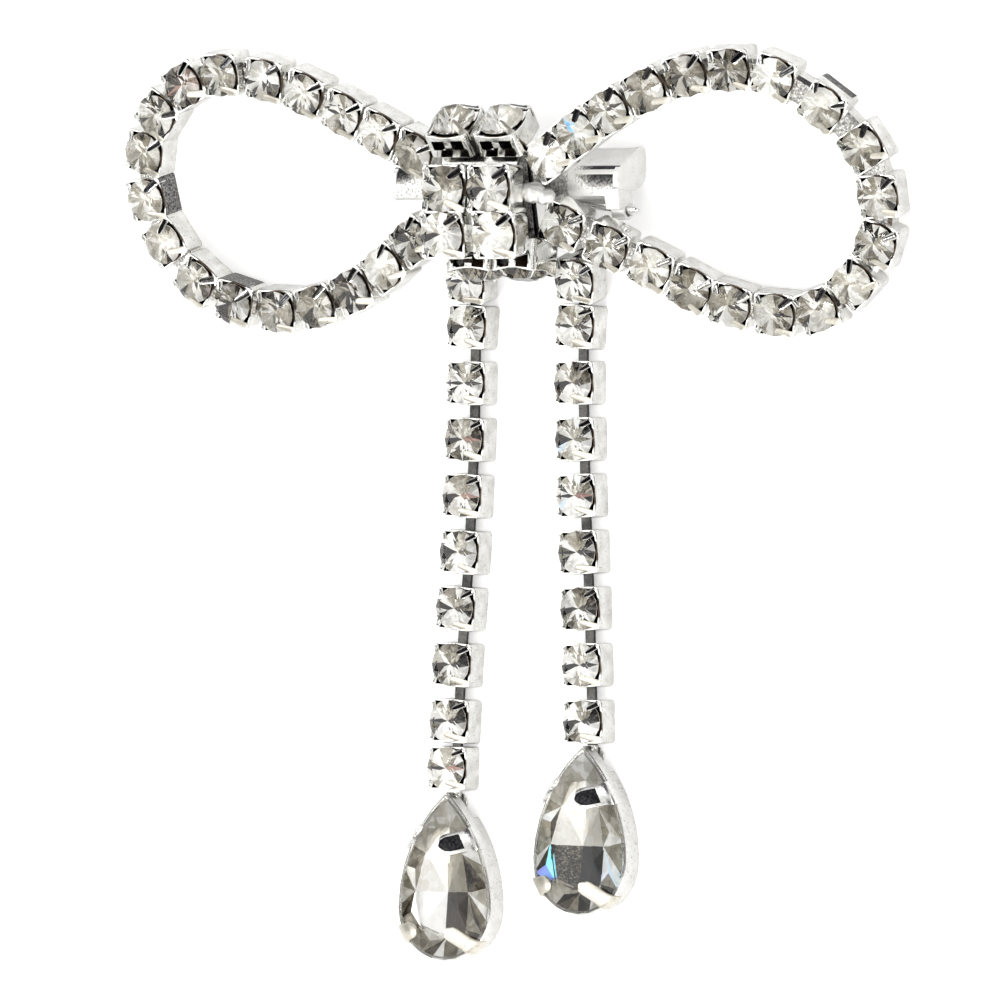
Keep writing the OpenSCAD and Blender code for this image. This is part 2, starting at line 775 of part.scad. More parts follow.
module pin_bar() {
    color(SILVER) intersection() {
        on_bow() bar_metal();
        translate([bar_left - bar_depth, -bar_length, 0])
            cube([bar_length + 2 * bar_depth, 2 * bar_length, bar_length]);
    }
}

module pin_wire() {
    color(SILVER) on_bow() pin_line(0);
}

bow_loop_left();
bow_loop_right();
bow_stones_left();
bow_stones_right();
knot_setting();
knot_stone(0);  // knot_stone_1
knot_stone(1);  // knot_stone_2
knot_stone(2);  // knot_stone_3
knot_stone(3);  // knot_stone_4
knot_stone(4);  // knot_stone_5
knot_stone(5);  // knot_stone_6
knot_stone(6);  // knot_stone_7
knot_stone(7);  // knot_stone_8
tail_left_cups();
tail_left_links();
tail_left_stones();
tail_right_cups();
tail_right_links();
tail_right_stones();
pear_setting_left();
pear_stone_left();
pear_setting_right();
pear_stone_right();
pin_bar();
pin_wire();
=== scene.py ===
"""Looks of a bow brooch: glass stones in plated cups, lying face up on a pale surface.

Lengths in the helpers are in millimetres, and every object is made in metres.
"""

import math
import random

import bmesh
import bpy
import numpy as np
from mathutils import Matrix, Vector


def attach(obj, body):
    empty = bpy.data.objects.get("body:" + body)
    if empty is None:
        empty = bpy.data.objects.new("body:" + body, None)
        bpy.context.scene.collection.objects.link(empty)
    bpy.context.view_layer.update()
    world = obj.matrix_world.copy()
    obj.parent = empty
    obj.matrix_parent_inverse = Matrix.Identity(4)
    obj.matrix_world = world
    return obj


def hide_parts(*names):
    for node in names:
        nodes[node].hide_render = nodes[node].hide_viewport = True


MM = 0.001
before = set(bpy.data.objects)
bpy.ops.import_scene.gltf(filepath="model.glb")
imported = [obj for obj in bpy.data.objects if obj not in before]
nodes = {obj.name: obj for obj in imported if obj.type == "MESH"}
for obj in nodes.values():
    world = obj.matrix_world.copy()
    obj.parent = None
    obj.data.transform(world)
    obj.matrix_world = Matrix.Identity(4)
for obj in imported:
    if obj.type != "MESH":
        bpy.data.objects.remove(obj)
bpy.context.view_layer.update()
BODY = "root"

# Sizes that the solids also have, with the cups a hair smaller
CUP_SIDE = 3.67
KNOT_SIDE = 4.1
CUP_CORNER = 0.35
GIRDLE_Z = 2.48
BOW_LEAN = math.radians(13)
BOW_LIFT = 5.7
FOOT_Y = 2.6304
# Shares of a round stone's radius: height of its crown, depth of its pavilion, reach of its table
CROWN = 0.38
PAVILION = 0.82
TABLE = 0.55
# The glass fills its cup a little more than the plain solids do
FULLER = 1.06
VIEW_ANGLE = math.radians(30)
X_WAY = Vector((1, 0, 0))
Y_WAY = Vector((0, 1, 0))
Z_WAY = Vector((0, 0, 1))


# Mesh helpers
class Maker:
    """Collects points and faces in millimetres, then makes one object."""

    def __init__(self):
        self.points = []
        self.faces = []
        self.slots = []
        self.tones = []

    def add(self, points, faces, place=None, slot=0, tones=None):
        first = len(self.points)
        self.points += [place @ p if place else p for p in points]
        for i, face in enumerate(faces):
            self.faces.append([first + k for k in face])
            self.slots.append(slot[i] if isinstance(slot, list) else slot)
            self.tones.append(tones[i] if tones else 0.5)

    def build(self, name, materials, crease=32, repair=True):
        mesh = bpy.data.meshes.new(name)
        mesh.from_pydata([p * MM for p in self.points], [], self.faces)
        for material in materials:
            mesh.materials.append(material)
        mesh.polygons.foreach_set("material_index", self.slots)
        tone = mesh.attributes.new("tone", "FLOAT", "FACE")
        tone.data.foreach_set("value", self.tones)
        bm = bmesh.new()
        bm.from_mesh(mesh)
        if repair:
            bmesh.ops.recalc_face_normals(bm, faces=bm.faces)
        for face in bm.faces:
            face.smooth = crease > 0
        for edge in bm.edges:
            if len(edge.link_faces) == 2 and edge.calc_face_angle(0) > math.radians(crease):
                edge.smooth = False
        bm.to_mesh(mesh)
        bm.free()
        piece = bpy.data.objects.new(name, mesh)
        bpy.context.scene.collection.objects.link(piece)
        return piece


def place_from(origin, x_way, y_way, z_way):
    turn = Matrix((x_way, y_way, z_way)).transposed().to_4x4()
    return Matrix.Translation(Vector(origin)) @ turn


def settle(piece, slot, *stands_for):
    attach(piece, BODY)
    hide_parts(*stands_for)


def node_points(name):
    mesh = nodes[name].data
    co = np.empty(len(mesh.vertices) * 3)
    mesh.vertices.foreach_get("co", co)
    return co.reshape(-1, 3) / MM


def islands(name):
    """The corners of each loose solid of a node, as one array per solid."""
    mesh = nodes[name].data
    points = node_points(name)
    known = {}
    ids = [known.setdefault(tuple(np.round(p, 4)), len(known)) for p in points]
    parent = list(range(len(known)))

    def root(a):
        while parent[a] != a:
            parent[a] = parent[parent[a]]
            a = parent[a]
        return a

    for face in mesh.polygons:
        corners = [ids[v] for v in face.vertices]
        for c in corners[1:]:
            parent[root(corners[0])] = root(c)
    groups = {}
    for p, i in zip(points, ids):
        groups.setdefault(root(i), {})[i] = p
    found = [np.array([g[i] for i in sorted(g)]) for g in groups.values()]
    return sorted(found, key=lambda g: (round(g[:, 1].max(), 3), round(g[:, 0].min(), 3)), reverse=True)


# Shapes made of rings of points
def quads(rings, count, closed=False):
    """Faces that join rings of points one after another, and the last to the first if closed."""
    faces = []
    for k in range(rings if closed else rings - 1):
        a, b = k * count, (k + 1) % rings * count
        for j in range(count):
            faces.append([a + j, a + (j + 1) % count, b + (j + 1) % count, b + j])
    return faces


def sweep(maker, place, rings, tones=(), slot=0):
    """A solid along rings of points. Tones go part by part, round each ring; the rest are bright."""
    count = len(rings[0])
    faces = quads(len(rings), count)
    faces.append(list(range(count))[::-1])
    faces.append([(len(rings) - 1) * count + j for j in range(count)])
    maker.add(sum(rings, []), faces, place, slot, list(tones) + [0.5] * (len(faces) - len(tones)))


def hoop(middle, side, up, radius, count=20, turn=0.0):
    """A ring of points round a middle, in the plane of two directions."""
    angles = [2 * math.pi * k / count + turn for k in range(count)]
    return [middle + (side * math.cos(a) + up * math.sin(a)) * radius for a in angles]


def tab_section(low, shoulder, high, flat):
    """A section with its upper corners cut: places as shares of half the width, with heights."""
    return ((-1, low), (1, low), (1, shoulder), (flat, high), (-flat, high), (-1, shoulder))


def square_to(path, k):
    """The direction square to a path of distances and heights, at one of its rows."""
    before, after = path[max(k - 1, 0)], path[min(k + 1, len(path) - 1)]
    way = Vector((after[0] - before[0], 0, after[1] - before[1])).normalized()
    return Vector((way.z, 0, -way.x))


# Where each stone sits: its girdle's middle, its axis and the turn of its cup
def stone_place(corners, metal):
    middle = corners.mean(0)
    order = np.argsort(np.linalg.norm(corners - middle, axis=1))
    top = corners[order[:8]].mean(0)
    culet = corners[order[8]]
    height = np.linalg.norm(top - culet)
    axis = (top - culet) / height
    r = height / (CROWN + PAVILION)
    centre = culet + axis * PAVILION * r
    x_way = np.array([1.0, 0, 0]) - axis * axis[0]
    x_way /= np.linalg.norm(x_way)
    y_way = np.cross(axis, x_way)
    away = metal - centre
    lift = away @ axis
    flat = away - np.outer(lift, axis)
    reach = np.linalg.norm(flat, axis=1)
    # The tips of the folded prongs tell how far the cup is turned
    tips = (lift > 0.02 * r) & (lift < 0.7 * r) & (reach > 0.55 * r) & (reach < 0.8 * r)
    angles = np.arctan2(flat[tips] @ y_way, flat[tips] @ x_way)
    quarter = np.angle(np.exp(4j * angles).sum()) / 4
    turn = quarter % (math.pi / 2) - math.pi / 4
    ex = math.cos(turn) * x_way + math.sin(turn) * y_way
    ey = np.cross(axis, ex)
    back = centre - axis * GIRDLE_Z
    return place_from(back, Vector(ex), Vector(ey), Vector(axis)), r * FULLER


def cup_places(stones, metal):
    points = node_points(metal)
    return [stone_place(corners, points) for corners in islands(stones)]


# One cup: walls with an arched rim, openings, and four folded prongs
# Painted shade: the cut edges of the openings, the inside walls and the inner floor of a cup are darker
CUT_TONE = 0.4
INSIDE_TONE = 0.12
FLOOR_TONE = 0.04


def cup_ring(half, corner, breaks):
    """Points round a square with rounded corners, each with how near it lies to a corner."""
    ring = []
    cut = half - corner
    for side in range(4):
        a = side * math.pi / 2
        n = Vector((math.cos(a), math.sin(a), 0))
        t = Vector((-math.sin(a), math.cos(a), 0))
        for b in breaks:
            b = max(-cut, min(cut, b))
            ring.append((n * half + t * b, abs(b) / cut))
        for degrees in (30, 60):
            turn = a + math.radians(degrees)
            ring.append(((n + t) * cut + Vector((math.cos(turn), math.sin(turn), 0)) * corner, 1.0))
    return ring


def cup(maker, place, side, breaks, levels, holes=(), wall=0.15, rim=2.22, floor=0.35, painted_dark=None):
    """A cup whose walls are divided by breaks along each side and by levels.

    A hole is left out of the wall, as (level, side, part of the side). Walls painted dark, as a painted
    dark reflection, are given by side, each as a list of tones from the foot to the rim.
    """
    arch = 0.24
    arch_from = 0.5
    half = side / 2
    zs = [0.0, 0.07, *levels, rim - 0.06, rim]
    insets = [0.07] + [0.0] * (len(zs) - 2) + [0.045]
    outer, inner = [], []
    for z, inset in zip(zs, insets):
        outside = cup_ring(half - inset, CUP_CORNER, breaks)
        inside = cup_ring(half - wall - inset * 0.5, CUP_CORNER * 0.8, breaks)
        share = max(0.0, (z - rim + arch_from) / arch_from)
        lift = [share * arch * (c * c - 0.5) for _, c in outside]
        outer.append([p + Z_WAY * (z + u) for (p, _), u in zip(outside, lift)])
        inner.append([p + Z_WAY * (max(z, floor) + u) for (p, _), u in zip(inside, lift)])
    count = len(outer[0])
    base = len(zs) * count
    per_side = len(breaks) + 2
    open_cells = {(level, s * per_side + j) for level, s, j in holes}
    faces, tones = [], []
    for level in range(len(zs) - 1):
        for k in range(count):
            a, b = level * count + k, level * count + (k + 1) % count
            c, d = b + count, a + count
            a_in, b_in, c_in, d_in = a + base, b + base, c + base, d + base
            if (level, k) in open_cells:
                faces += [[a, a_in, b_in, b], [d, c, c_in, d_in], [a, d, d_in, a_in], [b, b_in, c_in, c]]
                tones += [CUT_TONE] * 4
                continue
            faces.append([a, b, c, d])
            row = (painted_dark or {}).get(k // per_side)
            tones.append(row[min(level, len(row) - 1)] if row else 0.5)
            if level > 0:
                faces.append([a_in, d_in, c_in, b_in])
                tones.append(INSIDE_TONE)
    top = (len(zs) - 1) * count
    for k in range(count):
        a, b = top + k, top + (k + 1) % count
        faces.append([a, b, b + base, a + base])
        tones.append(0.5)
    faces.append(list(range(count))[::-1])
    faces.append([base + count + k for k in range(count)])
    maker.add(sum(outer + inner, []), faces, place, 0, tones + [0.5, FLOOR_TONE])


def prong(maker, place, side, r, corner_angle, width, lean, tip, top):
    """A tab that stands on a corner of the cup and folds in over the crown."""
    thick = 0.12
    steps = 6
    out = (side / 2 - CUP_CORNER) * math.sqrt(2) + CUP_CORNER
    slope = math.atan(CROWN / (1 - TABLE))
    over = GIRDLE_Z + 0.05 / math.cos(slope)
    # The path runs up the corner, then in along the crown: distance from the axis, height
    path = [(out - 0.2, 1.5), (out - 0.18, 1.9), (out - 0.19, 2.1), (out - 0.29, 2.28)]
    start = out - 0.38
    for k in range(steps + 1):
        rho = start + (r * tip - start) * k / steps
        path.append((rho, max(over + (r - rho) * math.tan(slope), 2.3 + 0.03 * k)))
    last = len(path) - 1
    rings = []
    for k, (rho, z) in enumerate(path):
        w = width * (1.16 - 0.34 * k / last) * (0.62 if k == last else 1)
        up = square_to(path, k)
        sunk = 0.0
        if k <= 2:
            up = Vector((abs(up.x), 0, up.z if up.x > 0 else -up.z))
            sunk = 0.6 * thick
        elif up.z < 0:
            up = -up
        middle = Vector((rho, math.tan(lean) * max(0.0, start - rho), z))
        section = tab_section(0, 0.72 * thick, thick, 0.55)
        rings.append([middle + Y_WAY * (s * w / 2) + up * (t - sunk) for s, t in section])
    # Painted shade and painted dark reflection on the top of the folded part; a prong without it takes the
    # paler plating, painted light
    tones = [top if k % 6 == 3 and k // 6 > 3 else 0.5 for k in range(6 * last)]
    spin = Matrix.Rotation(corner_angle, 4, "Z")
    sweep(maker, place @ spin, rings, tones, 1 if top >= 0.5 else 0)


def prongs(maker, place, side, r, draw, style):
    for degrees, (width, lean, tip, top) in zip((45, 135, 225, 315), style):
        prong(
            maker, place, side, r, math.radians(degrees),
            width=width * draw.uniform(0.92, 1.08),
            lean=math.radians(lean + draw.uniform(-7, 7)),
            tip=tip + draw.uniform(-0.05, 0.05),
            top=max(0.03, top + draw.uniform(-0.12, 0.12)) if top < 0.5 else top,
        )


# A round brilliant: glass crown, foiled pavilion, and the lacquer on the back of the foil
# Shares of the radius: reach and height over the girdle of the crown's and the pavilion's inner corners
STAR = (0.8, 0.222)
LOWER = (0.26, -0.628)
GIRDLE_HALF = 0.02
# Pressed glass: the point of the pavilion lies a little off the middle
CULET_ASIDE = 0.2
LACQUER_GAP = 0.06


def round_stone(maker, place, r, tones):
    def ring(count, reach, height, turn=0.0):
        return hoop(Z_WAY * (GIRDLE_Z + height * r), X_WAY, Y_WAY, reach * r, count, turn)

    half_step = math.pi / 8
    aside = place.to_3x3().inverted() @ -X_WAY
    aside = Vector((aside.x, aside.y, 0)) * CULET_ASIDE * r
    crown = ring(8, TABLE, CROWN) + ring(8, *STAR, half_step) + ring(16, 1, GIRDLE_HALF)
    pavilion = ring(16, 1, -GIRDLE_HALF) + [p + aside for p in ring(8, *LOWER, half_step)]
    pavilion.append(Z_WAY * (GIRDLE_Z - PAVILION * r) + aside)
    # First points of the table, the star, the rim, the girdle, the lower ring, and the culet
    t, s, m, g, w, c = 0, 8, 16, 32, 48, 56
    faces = [[t + i for i in range(8)]]
    for i in range(8):
        faces.append([t + i, s + i, t + (i + 1) % 8])
        faces.append([t + i, s + (i + 7) % 8, m + 2 * i, s + i])
        faces.append([s + i, m + 2 * i, m + 2 * i + 1])
        faces.append([s + i, m + 2 * i + 1, m + (2 * i + 2) % 16])
    for i in range(16):
        faces.append([m + i, g + i, g + (i + 1) % 16, m + (i + 1) % 16])
    glass = len(faces)
    for i in range(8):
        faces.append([c, w + i, g + 2 * i, w + (i + 7) % 8])
        faces.append([w + i, g + 2 * i + 1, g + 2 * i])
        faces.append([w + i, g + (2 * i + 2) % 16, g + 2 * i + 1])
    slots = [0] * glass + [foil_slot(tone) for tone in tones]
    maker.add(crown + pavilion, faces, place, slots, [0.5] * glass + tones)
    # Lacquered back, a hair outside the foil and with the same facets
    back = [p - Z_WAY * LACQUER_GAP for p in pavilion]
    maker.add(back, [[k - g for k in face] for face in faces[glass:]], place, 2)


def foil_slot(tone):
    """The foil, or one of the two painted rainbow glints for tones over 1.5 and over 2.5."""
    return 1 if tone < 1.5 else 3 if tone < 2.5 else 4


# Tones for the facets of the foil: painted reflections
def shaded_tones(draw):
    return [draw.choice((0.0, 0.1, 0.2, 0.26, 0.34, 0.5)) for _ in range(24)]


def halves(main, draw):
    """The two facets beside a main one: often as bright as it is."""
    others = (0.02, 0.32, 0.58, 0.8, 1.0, 1.1)
    return [main if draw.random() < 0.4 else draw.choice(others) for _ in range(2)]


def tail_tones(draw):
    """Painted reflections in the foil, by direction: dark wedges to the sides, white below, beige above."""
    tones = []
    for main in [draw.choice((-0.05, 0.1, 0.2)), 0.55, 0.5, 0.9, -0.08, 1.05, 1.25, 1.15]:
        main += draw.uniform(-0.12, 0.12)
        tones.append(main)
        tones += halves(main, draw)
    return tones


def loop_tones(draw):
    tones = []
    main = 0.5
    for i in range(8):
        # Neighbours are often alike, so that a few large patches show
        if i == 0 or draw.random() < 0.85:
            main = draw.choice((0.06, 0.4, 0.52, 0.64, 0.74, 0.84, 0.92, 1.0, 1.06))
        tones.append(main)
        tones += halves(main, draw)
    return tones


def lighter_tones(draw, lift=0.0):
    """As loop_tones, for stones that take more light: fewer of their facets are dark."""
    return [0.5 if tone < 0.3 and k % 2 else tone + lift for k, tone in enumerate(loop_tones(draw))]


# Materials
def fill(tree, made, inputs):
    """Fills the inputs of a node, by name or number: a socket is linked, and any other value is set."""
    for key, value in inputs.items():
        if isinstance(value, bpy.types.NodeSocket):
            tree.links.new(value, made.inputs[key])
        else:
            made.inputs[key].default_value = value


def node(tree, kind, inputs=None, **settings):
    made = tree.nodes.new("ShaderNode" + kind)
    for key, value in settings.items():
        setattr(made, key, value)
    fill(tree, made, inputs or {})
    return made


def shader(name):
    material = bpy.data.materials.new(name)
    material.use_nodes = True
    return material, material.node_tree


def dress(material, inputs):
    """Fills the inputs of a material's main shader."""
    tree = material.node_tree
    fill(tree, tree.nodes["Principled BSDF"], inputs)
    return material


# Each of these makes a node and gives its output
def ramp(tree, source, stops):
    made = node(tree, "ValToRGB", {"Fac": source})
    while len(made.color_ramp.elements) < len(stops):
        made.color_ramp.elements.new(0.5)
    for element, (where, colour) in zip(made.color_ramp.elements, stops):
        element.position = where
        element.color = (*colour, 1)
    return made.outputs["Color"]


def object_coords(tree):
    return node(tree, "TexCoord").outputs["Object"]


def noise(tree, scale, detail):
    inputs = {"Vector": object_coords(tree), "Scale": scale, "Detail": detail}
    return node(tree, "TexNoise", inputs).outputs["Fac"]


def face_tone(tree):
    return node(tree, "Attribute", attribute_name="tone").outputs["Fac"]


def maths(tree, operation, *values):
    return node(tree, "Math", dict(enumerate(values)), operation=operation).outputs["Value"]


def mixed(tree, a, b, factor, blend_type="MIX"):
    inputs = {"Factor": factor, "A": a, "B": b}
    return node(tree, "Mix", inputs, data_type="RGBA", blend_type=blend_type).outputs["Result"]


def map_range(tree, source, low, high, to_low=0.0, to_high=1.0, **settings):
    inputs = {"Value": source, "From Min": low, "From Max": high, "To Min": to_low, "To Max": to_high}
    return node(tree, "MapRange", inputs, **settings).outputs["Result"]


def plated(name, dark, light, rough_low, rough_high, speckle=0.0, toned=True, metal=1.0):
    """Bright plating: faint mottling, pin-head specks and a slightly rippled polish.

    A face whose tone is under 0.5 is darker: painted shade and painted dark reflection.
    """
    material, tree = shader(name)
    cloud = noise(tree, 900, 4)
    specks = noise(tree, 5200, 2)
    speck_edge = 0.3 + speckle * 0.2
    tint = ramp(tree, cloud, [(0.3, dark), (0.62, light)])
    spots = ramp(tree, specks, [(speck_edge, (0.3, 0.3, 0.31)), (speck_edge + 0.12, (1, 1, 1))])
    colour = mixed(tree, tint, spots, 0.3 + speckle * 0.5, "MULTIPLY")
    if toned:
        # Painted shade: a face's tone, with the specks, darkens the plating
        cover = maths(tree, "MULTIPLY_ADD", specks, 0.5, face_tone(tree))
        painted_dark = ramp(tree, cover, [
            (0.22, (0.012, 0.012, 0.014)), (0.38, (0.07, 0.07, 0.076)),
            (0.56, (0.42, 0.41, 0.4)), (0.68, (1, 1, 1))])
        colour = mixed(tree, colour, painted_dark, 1.0, "MULTIPLY")
    rough = ramp(tree, cloud, [(0.3, (rough_high,) * 3), (0.7, (rough_low,) * 3)])
    bump = node(tree, "Bump", {"Height": noise(tree, 1500, 2), "Strength": 0.12, "Distance": 0.00006})
    return dress(material, {
        "Metallic": metal, "Base Color": colour, "Roughness": rough, "Normal": bump.outputs["Normal"]})


def link_metal(name, eye_y):
    """Links painted dark, a painted dark reflection, but for the last one, below eye_y, painted as bright as
    the pear that it holds.
    """
    material = plated(name, (0.045, 0.045, 0.045), (0.12, 0.115, 0.11), 0.18, 0.34, 0.4, toned=False)
    tree = material.node_tree
    painted_dark_reflection = tree.nodes["Principled BSDF"].inputs["Base Color"].links[0].from_socket
    along = node(tree, "SeparateXYZ", {"Vector": object_coords(tree)}).outputs["Y"]
    bright = ramp(tree, noise(tree, 900, 4), [(0.3, (0.6, 0.6, 0.58)), (0.62, (0.85, 0.85, 0.83))])
    below = maths(tree, "LESS_THAN", along, eye_y * MM)
    return dress(material, {"Base Color": mixed(tree, painted_dark_reflection, bright, below)})


def foil_material(name, shards, scale=1700):
    """Foil seen through the crown, painted with reflections: each facet's tone, broken into angular shards
    of painted light.
    """
    material, tree = shader(name)
    inputs = {"Vector": object_coords(tree), "Scale": scale, "Randomness": 1.0}
    cells = node(tree, "TexVoronoi", inputs, distance="MANHATTAN")
    part = node(tree, "SeparateColor", {"Color": cells.outputs["Color"]}).outputs["Red"]
    broken = maths(tree, "ADD", face_tone(tree), map_range(tree, part, 0, 1, -shards, shards))
    light = maths(tree, "MULTIPLY_ADD", noise(tree, 2600, 3), 0.08, broken)
    colours = ramp(tree, light, [
        (0.05, (0.012, 0.011, 0.012)), (0.23, (0.085, 0.062, 0.045)), (0.39, (0.29, 0.26, 0.195)),
        (0.56, (0.54, 0.51, 0.42)), (0.73, (0.86, 0.83, 0.75)), (0.88, (0.97, 0.97, 0.95))])
    # Painted glint: the brightest facets glow, as if they threw light straight back
    painted_glint = map_range(tree, light, 0.75, 1.25, 0, 0.48)
    return dress(material, {
        "Metallic": 0.45, "Roughness": 0.16, "Base Color": colours,
        "Emission Color": (1, 1, 0.99, 1), "Emission Strength": painted_glint})


def tinted(name, scale, detail, low, high, inputs):
    """A material whose colour wanders between two."""
    material, tree = shader(name)
    tint = ramp(tree, noise(tree, scale, detail), [(0.3, low), (0.7, high)])
    return dress(material, {"Base Color": tint, **inputs})


def fire_material(name, first_tone, colours, glow):
    """A facet painted with a glowing glint of rainbow light: its colour goes by the tone over the first one.
    """
    material, tree = shader(name)
    share = map_range(tree, face_tone(tree), first_tone, first_tone + 0.4)
    tint = ramp(tree, maths(tree, "MULTIPLY_ADD", noise(tree, 900, 2), 0.5, share), colours)
    return dress(material, {
        "Metallic": 0.3, "Roughness": 0.2, "Base Color": tint,
        "Emission Color": tint, "Emission Strength": glow})


PLATING = plated("bright_plating", (0.68, 0.67, 0.635), (0.9, 0.9, 0.88), 0.07, 0.18)
WALLS = plated("soft_plating", (0.8, 0.79, 0.765), (0.9, 0.9, 0.88), 0.16, 0.3, 0.05)
# A rougher, paler copy of the plating for the prongs without painted shade: painted light
WARM = plated("warm_plating", (0.69, 0.66, 0.57), (0.82, 0.79, 0.7), 0.28, 0.38)
SATIN = plated("satin_plating", (0.86, 0.855, 0.83), (0.94, 0.938, 0.92), 0.3, 0.42, -0.4, metal=0.7)
STEEL = plated("pin_wire_metal", (0.82, 0.82, 0.81), (0.92, 0.92, 0.92), 0.1, 0.2)
FOIL = foil_material("stone_foil", 0.13)
FLAT_FOIL = foil_material("pear_foil", 0.04)
EDGE_FOIL = foil_material("pear_edge_foil", 0.1)
SPECKLED_FOIL = foil_material("pear_speckled_foil", 0.44, 11000)
GLASS = tinted("stone_glass", 700, 2, (0.97, 0.96, 0.94), (1, 1, 1), {
    "Transmission Weight": 1.0, "IOR": 1.54, "Roughness": 0.0})
LACQUER = tinted("stone_back_lacquer", 1200, 3, (0.05, 0.03, 0.02), (0.24, 0.16, 0.1), {
    "Roughness": 0.3, "Metallic": 0.5})
BLUE_FIRE = fire_material("blue_fire", 2.0, [
    (0.15, (0.4, 0.34, 0.92)), (0.38, (0.24, 0.42, 0.98)),
    (0.68, (0.22, 0.82, 0.96)), (1.0, (0.74, 0.88, 1.0))], 0.45)
WARM_FIRE = fire_material("warm_fire", 3.0, [(0.15, (0.3, 0.13, 0.1)), (0.6, (0.55, 0.33, 0.27))], 0.12)
STONE_PARTS = [GLASS, FOIL, LACQUER, BLUE_FIRE, WARM_FIRE, FLAT_FOIL, EDGE_FOIL, SPECKLED_FOIL]


# Loops
EVEN = [-1.5, -0.75, 0.0, 0.75, 1.5]
# One row for each corner from the upper right: width, lean, reach of the tip, tone of the top, which is
# painted shade
LOOP_PRONGS = [(0.62, 0, 0.62, 0.16), (0.5, 0, 0.74, 0.3), (0.5, 0, 0.74, 0.34), (0.6, -14, 0.62, 0.5)]
TAIL_PRONGS = [(0.5, 8, 0.72, 0.14), (0.4, 0, 0.84, 0.3), (0.4, 0, 0.84, 0.36), (0.6, -26, 0.56, 0.5)]
KNOT_PRONGS = [(0.7, 0, 0.6, 0.16), (0.56, 0, 0.74, 0.3), (0.56, 0, 0.74, 0.34), (0.66, -14, 0.62, 0.5)]
GLASS_SLOT = "round_glass"
METAL_SLOT = "plated_metal"
# Places of stones that show a painted spark of coloured light: place, number of the foil's facet, tone
SPARKS = [
    ((7.6, 1.9), 6, 2.1), ((-4.9, -21.8), 0, 3.1), ((-5.2, -26.5), 0, 3.2), ((5.4, -26.5), 0, 3.0),
    ((-5.7, -50.7), 0, 3.3), ((4.8, -22.0), 14, 2.4), ((5.4, -26.5), 14, 2.4), ((-27.4, 8.4), 12, 3.3)]


def nearest(place, places, spot, reach):
    """Whether a cup is the one nearest to a spot on the brooch, and within reach of it."""
    def off(other):
        return (other.translation.xy - Vector(spot)).length

    return off(place) < reach and off(place) == min(off(other) for other, _ in places)


def stones_piece(name, places, tones, draw, stands_for):
    maker = Maker()
    for place, r in places:
        row = tones(draw)
        for spot, facet, tone in SPARKS:
            if nearest(place, places, spot, 3):
                row[facet] = tone
        round_stone(maker, place, r, row)
    settle(maker.build(name, STONE_PARTS, crease=0), GLASS_SLOT, stands_for)


def solder(maker, a, b):
    """A bar of solder between the walls of two neighbouring cups, with painted shade, darkest on its top."""
    inset, width, low, high = 1.6, 2.3, 0.15, 1.8
    start, stop = a.translation, b.translation
    up = (a.to_3x3() @ Z_WAY + b.to_3x3() @ Z_WAY).normalized()
    way = (stop - start).normalized()
    across = up.cross(way).normalized()
    rings = []
    for along in (inset, (stop - start).length - inset):
        section = tab_section(low, high - 0.25, high, 0.7)
        rings.append([start + way * along + across * (s * width / 2) + up * z for s, z in section])
    sweep(maker, None, rings, [0.5, 0.48, 0.42, 0.3, 0.42, 0.48])


def chain_order(places):
    """The cups of a loop in the order in which they follow each other."""
    left = [place for place, _ in places]
    # An end of the loop is the cup nearest to the middle of the knot, on the upper strand
    order = [min(left, key=lambda cup: abs(cup.translation.x) - 0.2 * cup.translation.y)]
    while len(order) < len(places):
        left.remove(order[-1])
        order.append(min(left, key=lambda cup: (cup.translation - order[-1].translation).length))
    return order


# Walls painted dark, a painted dark reflection. Columns: a place on the brooch, the way the darkened wall
# faces, tones from its foot to its rim
DARK_PAINTED_WALLS = [
    ((-34.7, -3.3), (1, 0), [0.2]),
    ((-26.7, -12.0), (0.3, 1), [0.18]),
    ((31.8, 4.1), (0.7, 0.7), [0.08, 0.16, 0.5]),
]


def dark_painted_sides(place, places):
    """The walls of a cup painted dark, by side."""
    found = {}
    turn = place.to_3x3()
    outward = [(turn @ side).xy for side in (X_WAY, Y_WAY, -X_WAY, -Y_WAY)]
    for spot, way, tones in DARK_PAINTED_WALLS:
        if nearest(place, places, spot, 4):
            found[max(range(4), key=lambda k: outward[k].dot(Vector(way)))] = tones
    return found


draw = random.Random(7)
for side in ("left", "right"):
    places = cup_places(f"bow_stones_{side}", f"bow_loop_{side}")
    maker = Maker()
    for place, r in places:
        cup(maker, place, CUP_SIDE, EVEN, (1.1,), painted_dark=dark_painted_sides(place, places))
        prongs(maker, place, CUP_SIDE, r, draw, LOOP_PRONGS)
    order = chain_order(places)
    for a, b in zip(order, order[1:]):
        solder(maker, a, b)
    settle(maker.build(f"loop_cups_{side}", [PLATING, WARM]), METAL_SLOT, f"bow_loop_{side}")
    loop_light = loop_tones if side == "left" else lighter_tones
    stones_piece(f"loop_stones_{side}", places, loop_light, draw, f"bow_stones_{side}")

# Tails
TAIL_BREAKS = [-1.5, -0.58, 0.58, 1.5]
LINK_HOLES = ((2, 1, 1), (2, 3, 1))
for side in ("left", "right"):
    places = cup_places(f"tail_{side}_stones", f"tail_{side}_cups")
    maker = Maker()
    for k, (place, r) in enumerate(places):
        # The openings for the links are taller in the first two cups
        high = 0.9 if k > 1 else 1.55
        cup(maker, place, CUP_SIDE, TAIL_BREAKS, (0.3, high), LINK_HOLES, floor=0.3)
        prongs(maker, place, CUP_SIDE, r, draw, TAIL_PRONGS)
    settle(maker.build(f"tail_cups_{side}", [PLATING, WARM]), METAL_SLOT, f"tail_{side}_cups")
    stones_piece(f"tail_stones_{side}", places, tail_tones, draw, f"tail_{side}_stones")

